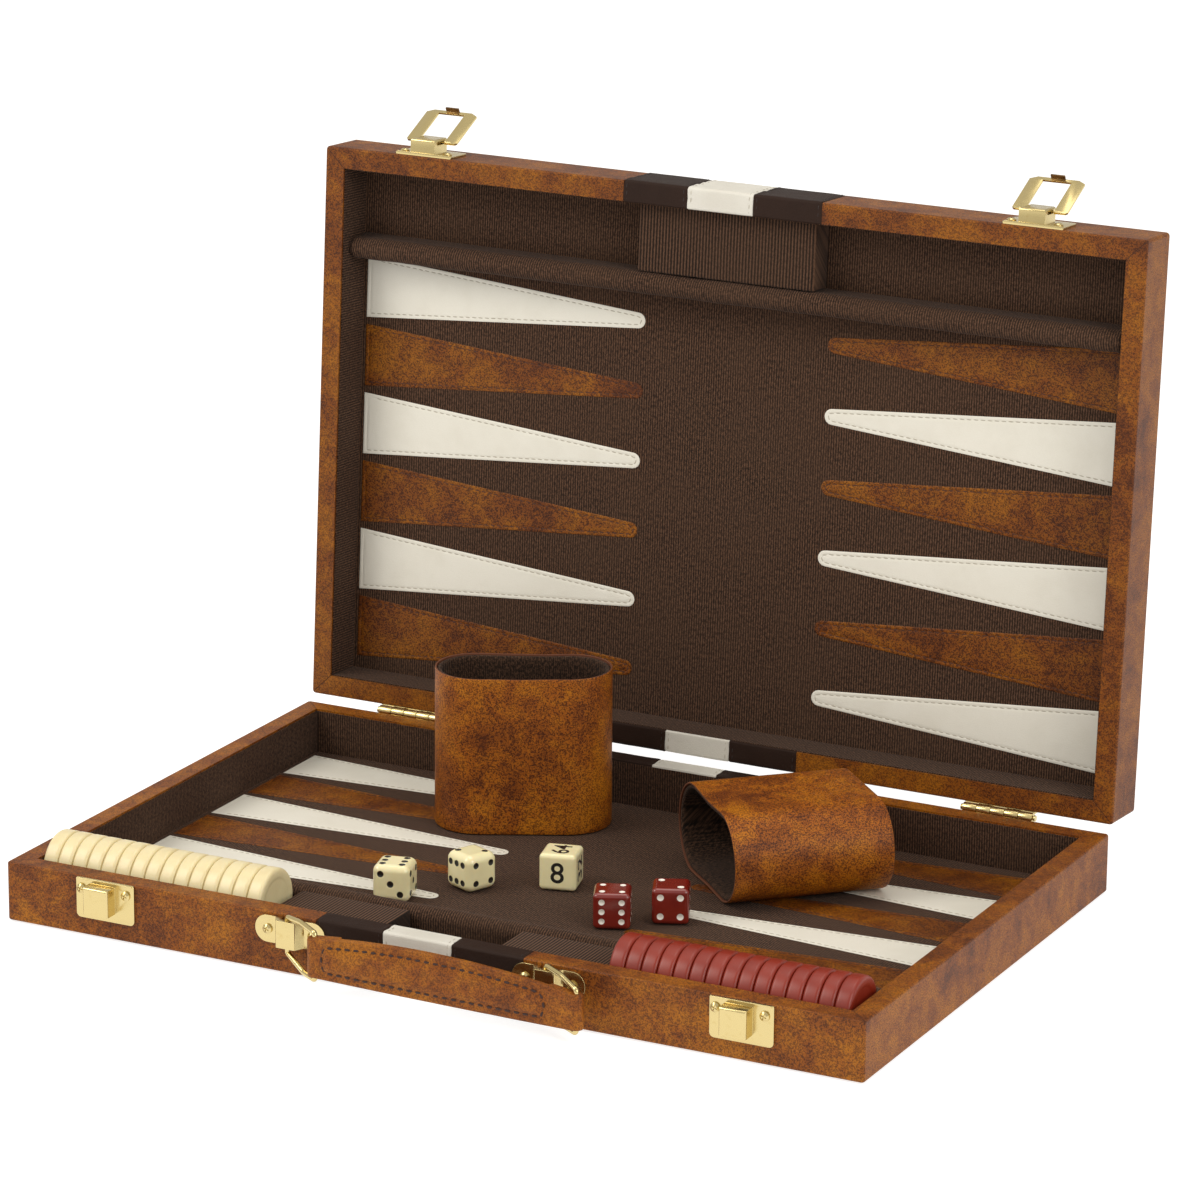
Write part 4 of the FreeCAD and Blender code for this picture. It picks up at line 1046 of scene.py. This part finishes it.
# ------------------------------------------------------------------ strap of the handle
def strap():
    xl, xr, yb = -38.680, 75.920, -135.65
    (zl0, zl1), (zr0, zr1), top, R0 = (7.0, 23.2), (5.8, 20.0), 25.9, 3.0
    t = 3.3
    # band outline in x, y seen from above, counter-clockwise from the front left
    out = []
    xs = np.linspace(xl, xr, 96)
    for x in xs:
        out.append((x, yb - R0, 0))
    for a in np.linspace(-math.pi / 2, math.pi / 2, 13)[1:]:
        out.append((xr + R0 * math.cos(a), yb + R0 * math.sin(a), 1))
    for x in np.linspace(xr - 2, xr - 11, 6):
        u = (xr - x) / 11
        out.append((x, yb + R0 - 0.9 * u, 1))
    out.append((xr - 11.6, yb - R0 + t + 0.9, 1))
    out.append((xr - 12.0, yb - R0 + t, 1))
    for x in np.linspace(xr - 13.5, xl + 13.5, 60):
        out.append((x, yb - R0 + t, 2))
    out.append((xl + 12.0, yb - R0 + t, 1))
    out.append((xl + 11.6, yb - R0 + t + 0.9, 1))
    for x in np.linspace(xl + 11, xl + 2, 6):
        u = (x - xl) / 11
        out.append((x, yb + R0 - 0.9 * u, 1))
    for a in np.linspace(math.pi / 2, 3 * math.pi / 2, 13)[:-1]:
        out.append((xl + R0 * math.cos(a), yb + R0 * math.sin(a), 1))
    out = np.array(out)
    P = out[:, :2]
    n = len(P)
    tn = np.roll(P, -1, 0) - np.roll(P, 1, 0)
    tn /= np.linalg.norm(tn, axis=1)[:, None]
    N = np.c_[tn[:, 1], -tn[:, 0]]
    xm = (xl + xr) / 2
    half = (xr - xl) / 2
    u = np.clip((P[:, 0] - xm) / half, -1, 1)

    def z_at(uu, lo, hi, bulge, power):
        """Straight from end to end, bulging in the middle."""
        return (lo + hi) / 2 + (hi - lo) / 2 * uu + bulge * np.clip(1 - np.abs(uu) ** power, 0, 1)

    ztop = z_at(u, zl1, zr1, top - (zl1 + zr1) / 2, 2.2)
    zbot = z_at(u, zl0, zr0, -0.35, 2)
    V, F = [], []
    rows = [(0.0, 1.5), (0.0, 0.75), (0.012, 0.25), (0.04, 0.05), (0.075, 0.0), (0.13, 0.0), (0.20, 0.0), (0.27, 0.0), (0.34, 0.0), (0.42, 0.0), (0.5, 0.0)]
    rows = rows + [(1 - a, b) for a, b in reversed(rows[:-1])]
    sx0, sx1 = -34.2, 63.5
    for w, ins in rows:
        z = zbot + (ztop - zbot) * w
        puff = np.zeros(n)
        fz0, fz1 = zbot + 3.4, ztop - 3.2
        inx = np.clip(np.minimum(P[:, 0] - sx0, sx1 - P[:, 0]) / 3.2, -1, 1)
        inz = np.clip(np.minimum(z - fz0, fz1 - z) / 2.2, -1, 1)
        ins_d = np.minimum(inx, inz)
        front = (out[:, 2] == 0)
        puff += front * np.where(ins_d > 0, 0.75 * np.sin(np.clip(ins_d, 0, 1) * math.pi / 2), 0)
        puff -= front * 0.30 * np.exp(-(np.minimum(np.abs(inx * 3.2), 9) ** 2 + 0) / 0.8) * (inz > -0.2)
        puff -= front * 0.30 * np.exp(-((inz * 2.2) ** 2) / 0.8) * (inx > -0.2)
        w3 = np.c_[P, z]
        puff += 0.06 * wobble(w3, 14, 4, 2)
        q = P + N * (puff - ins)[:, None]
        V += np.c_[q, z].tolist()
    F = grid_faces(len(rows), n, wv=True, flip=True)
    F.append(tuple(range(n)))
    b = (len(rows) - 1) * n
    F.append(tuple(reversed(range(b, b + n))))
    V = np.array(V)
    ob = weld(make("strap_padded", V, F, M["leather_strap"], sharp=50))
    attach(ob, "handle_strap")
    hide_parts("handle_strap")

    def edge(x, f):
        uu = min(1, max(-1, (x - xm) / half))
        return float(z_at(uu, zl0, zr0, -0.35, 2) + 3.4 if f == 0 else z_at(uu, zl1, zr1, top - (zl1 + zr1) / 2, 2.2) - 3.4)

    loop = []
    for x in np.linspace(sx0 + 2, sx1 - 2, 60):
        loop.append((x, edge(x, 0)))
    e0, e1 = edge(sx1, 0), edge(sx1, 1)
    for a in np.linspace(-math.pi / 2, math.pi / 2, 10):
        loop.append((sx1 - 2 + 2 * math.cos(a), (e0 + e1) / 2 + (e1 - e0) / 2 * math.sin(a)))
    for x in np.linspace(sx1 - 2, sx0 + 2, 60):
        loop.append((x, edge(x, 1)))
    e0, e1 = edge(sx0, 0), edge(sx0, 1)
    for a in np.linspace(math.pi / 2, 3 * math.pi / 2, 10):
        loop.append((sx0 + 2 + 2 * math.cos(a), (e0 + e1) / 2 + (e1 - e0) / 2 * math.sin(a)))
    pts = [(x, yb - R0 - 0.02, z) for x, z in loop]
    sv, sf = stitch_mesh([(pts, [(0, -1, 0)] * len(pts))], 3.9, 2.5, 0.52, seed=33)
    st = make("strap_stitches", sv, sf, M["thread_strap"])
    st.parent = ob
    return ob


strap()

# ------------------------------------------------------------------ stage and light
def stage_floor():
    me = bpy.data.meshes.new("floor")
    s = 14.0
    me.from_pydata([(-s, -s, -0.0006), (s, -s, -0.0006), (s, s, -0.0006), (-s, s, -0.0006)], [], [(0, 1, 2, 3)])
    ob = bpy.data.objects.new("floor", me)
    scene.collection.objects.link(ob)
    n = Nodes("floor_white")
    v = n.coords("base")
    g = n.noise(v, 400, 2, 0.5)
    mat = n.finish(n.mix(g, (0.42, 0.42, 0.42, 1), (0.46, 0.46, 0.46, 1)), 0.8, None, Specular_IOR_Level=0.0,
                   Emission_Color=(1, 1, 1, 1), Emission_Strength=0.78)
    me.materials.append(mat)


stage_floor()


def area(name, loc, target, size, size_y, power, color=(1, 1, 1)):
    d = bpy.data.lights.new(name, "AREA")
    d.shape = "RECTANGLE"
    d.size, d.size_y, d.energy, d.color = size, size_y, power, color
    ob = bpy.data.objects.new(name, d)
    scene.collection.objects.link(ob)
    ob.location = loc
    ob.rotation_euler = (Vector(target) - Vector(loc)).to_track_quat("-Z", "Y").to_euler()
    return ob


area("key", (-1.3, -1.1, 1.6), (0, 0, 0.08), 1.1, 1.1, 21, (1.0, 0.965, 0.90))
area("fill_right", (1.8, -0.7, 1.1), (0, 0, 0.08), 0.9, 1.3, 15, (1.0, 0.97, 0.91))
area("top", (0.1, 0.2, 2.2), (0, 0, 0), 1.6, 1.2, 12, (1.0, 0.97, 0.91))

w = bpy.data.worlds.new("studio")
scene.world = w
w.use_nodes = True
bg = w.node_tree.nodes["Background"]
bg.inputs[0].default_value = (1.0, 0.975, 0.925, 1)
bg.inputs[1].default_value = 0.68

scene.view_settings.view_transform = "Standard"
scene.view_settings.look = "None"
scene.view_settings.exposure = 0.0
scene.view_settings.gamma = 1.0
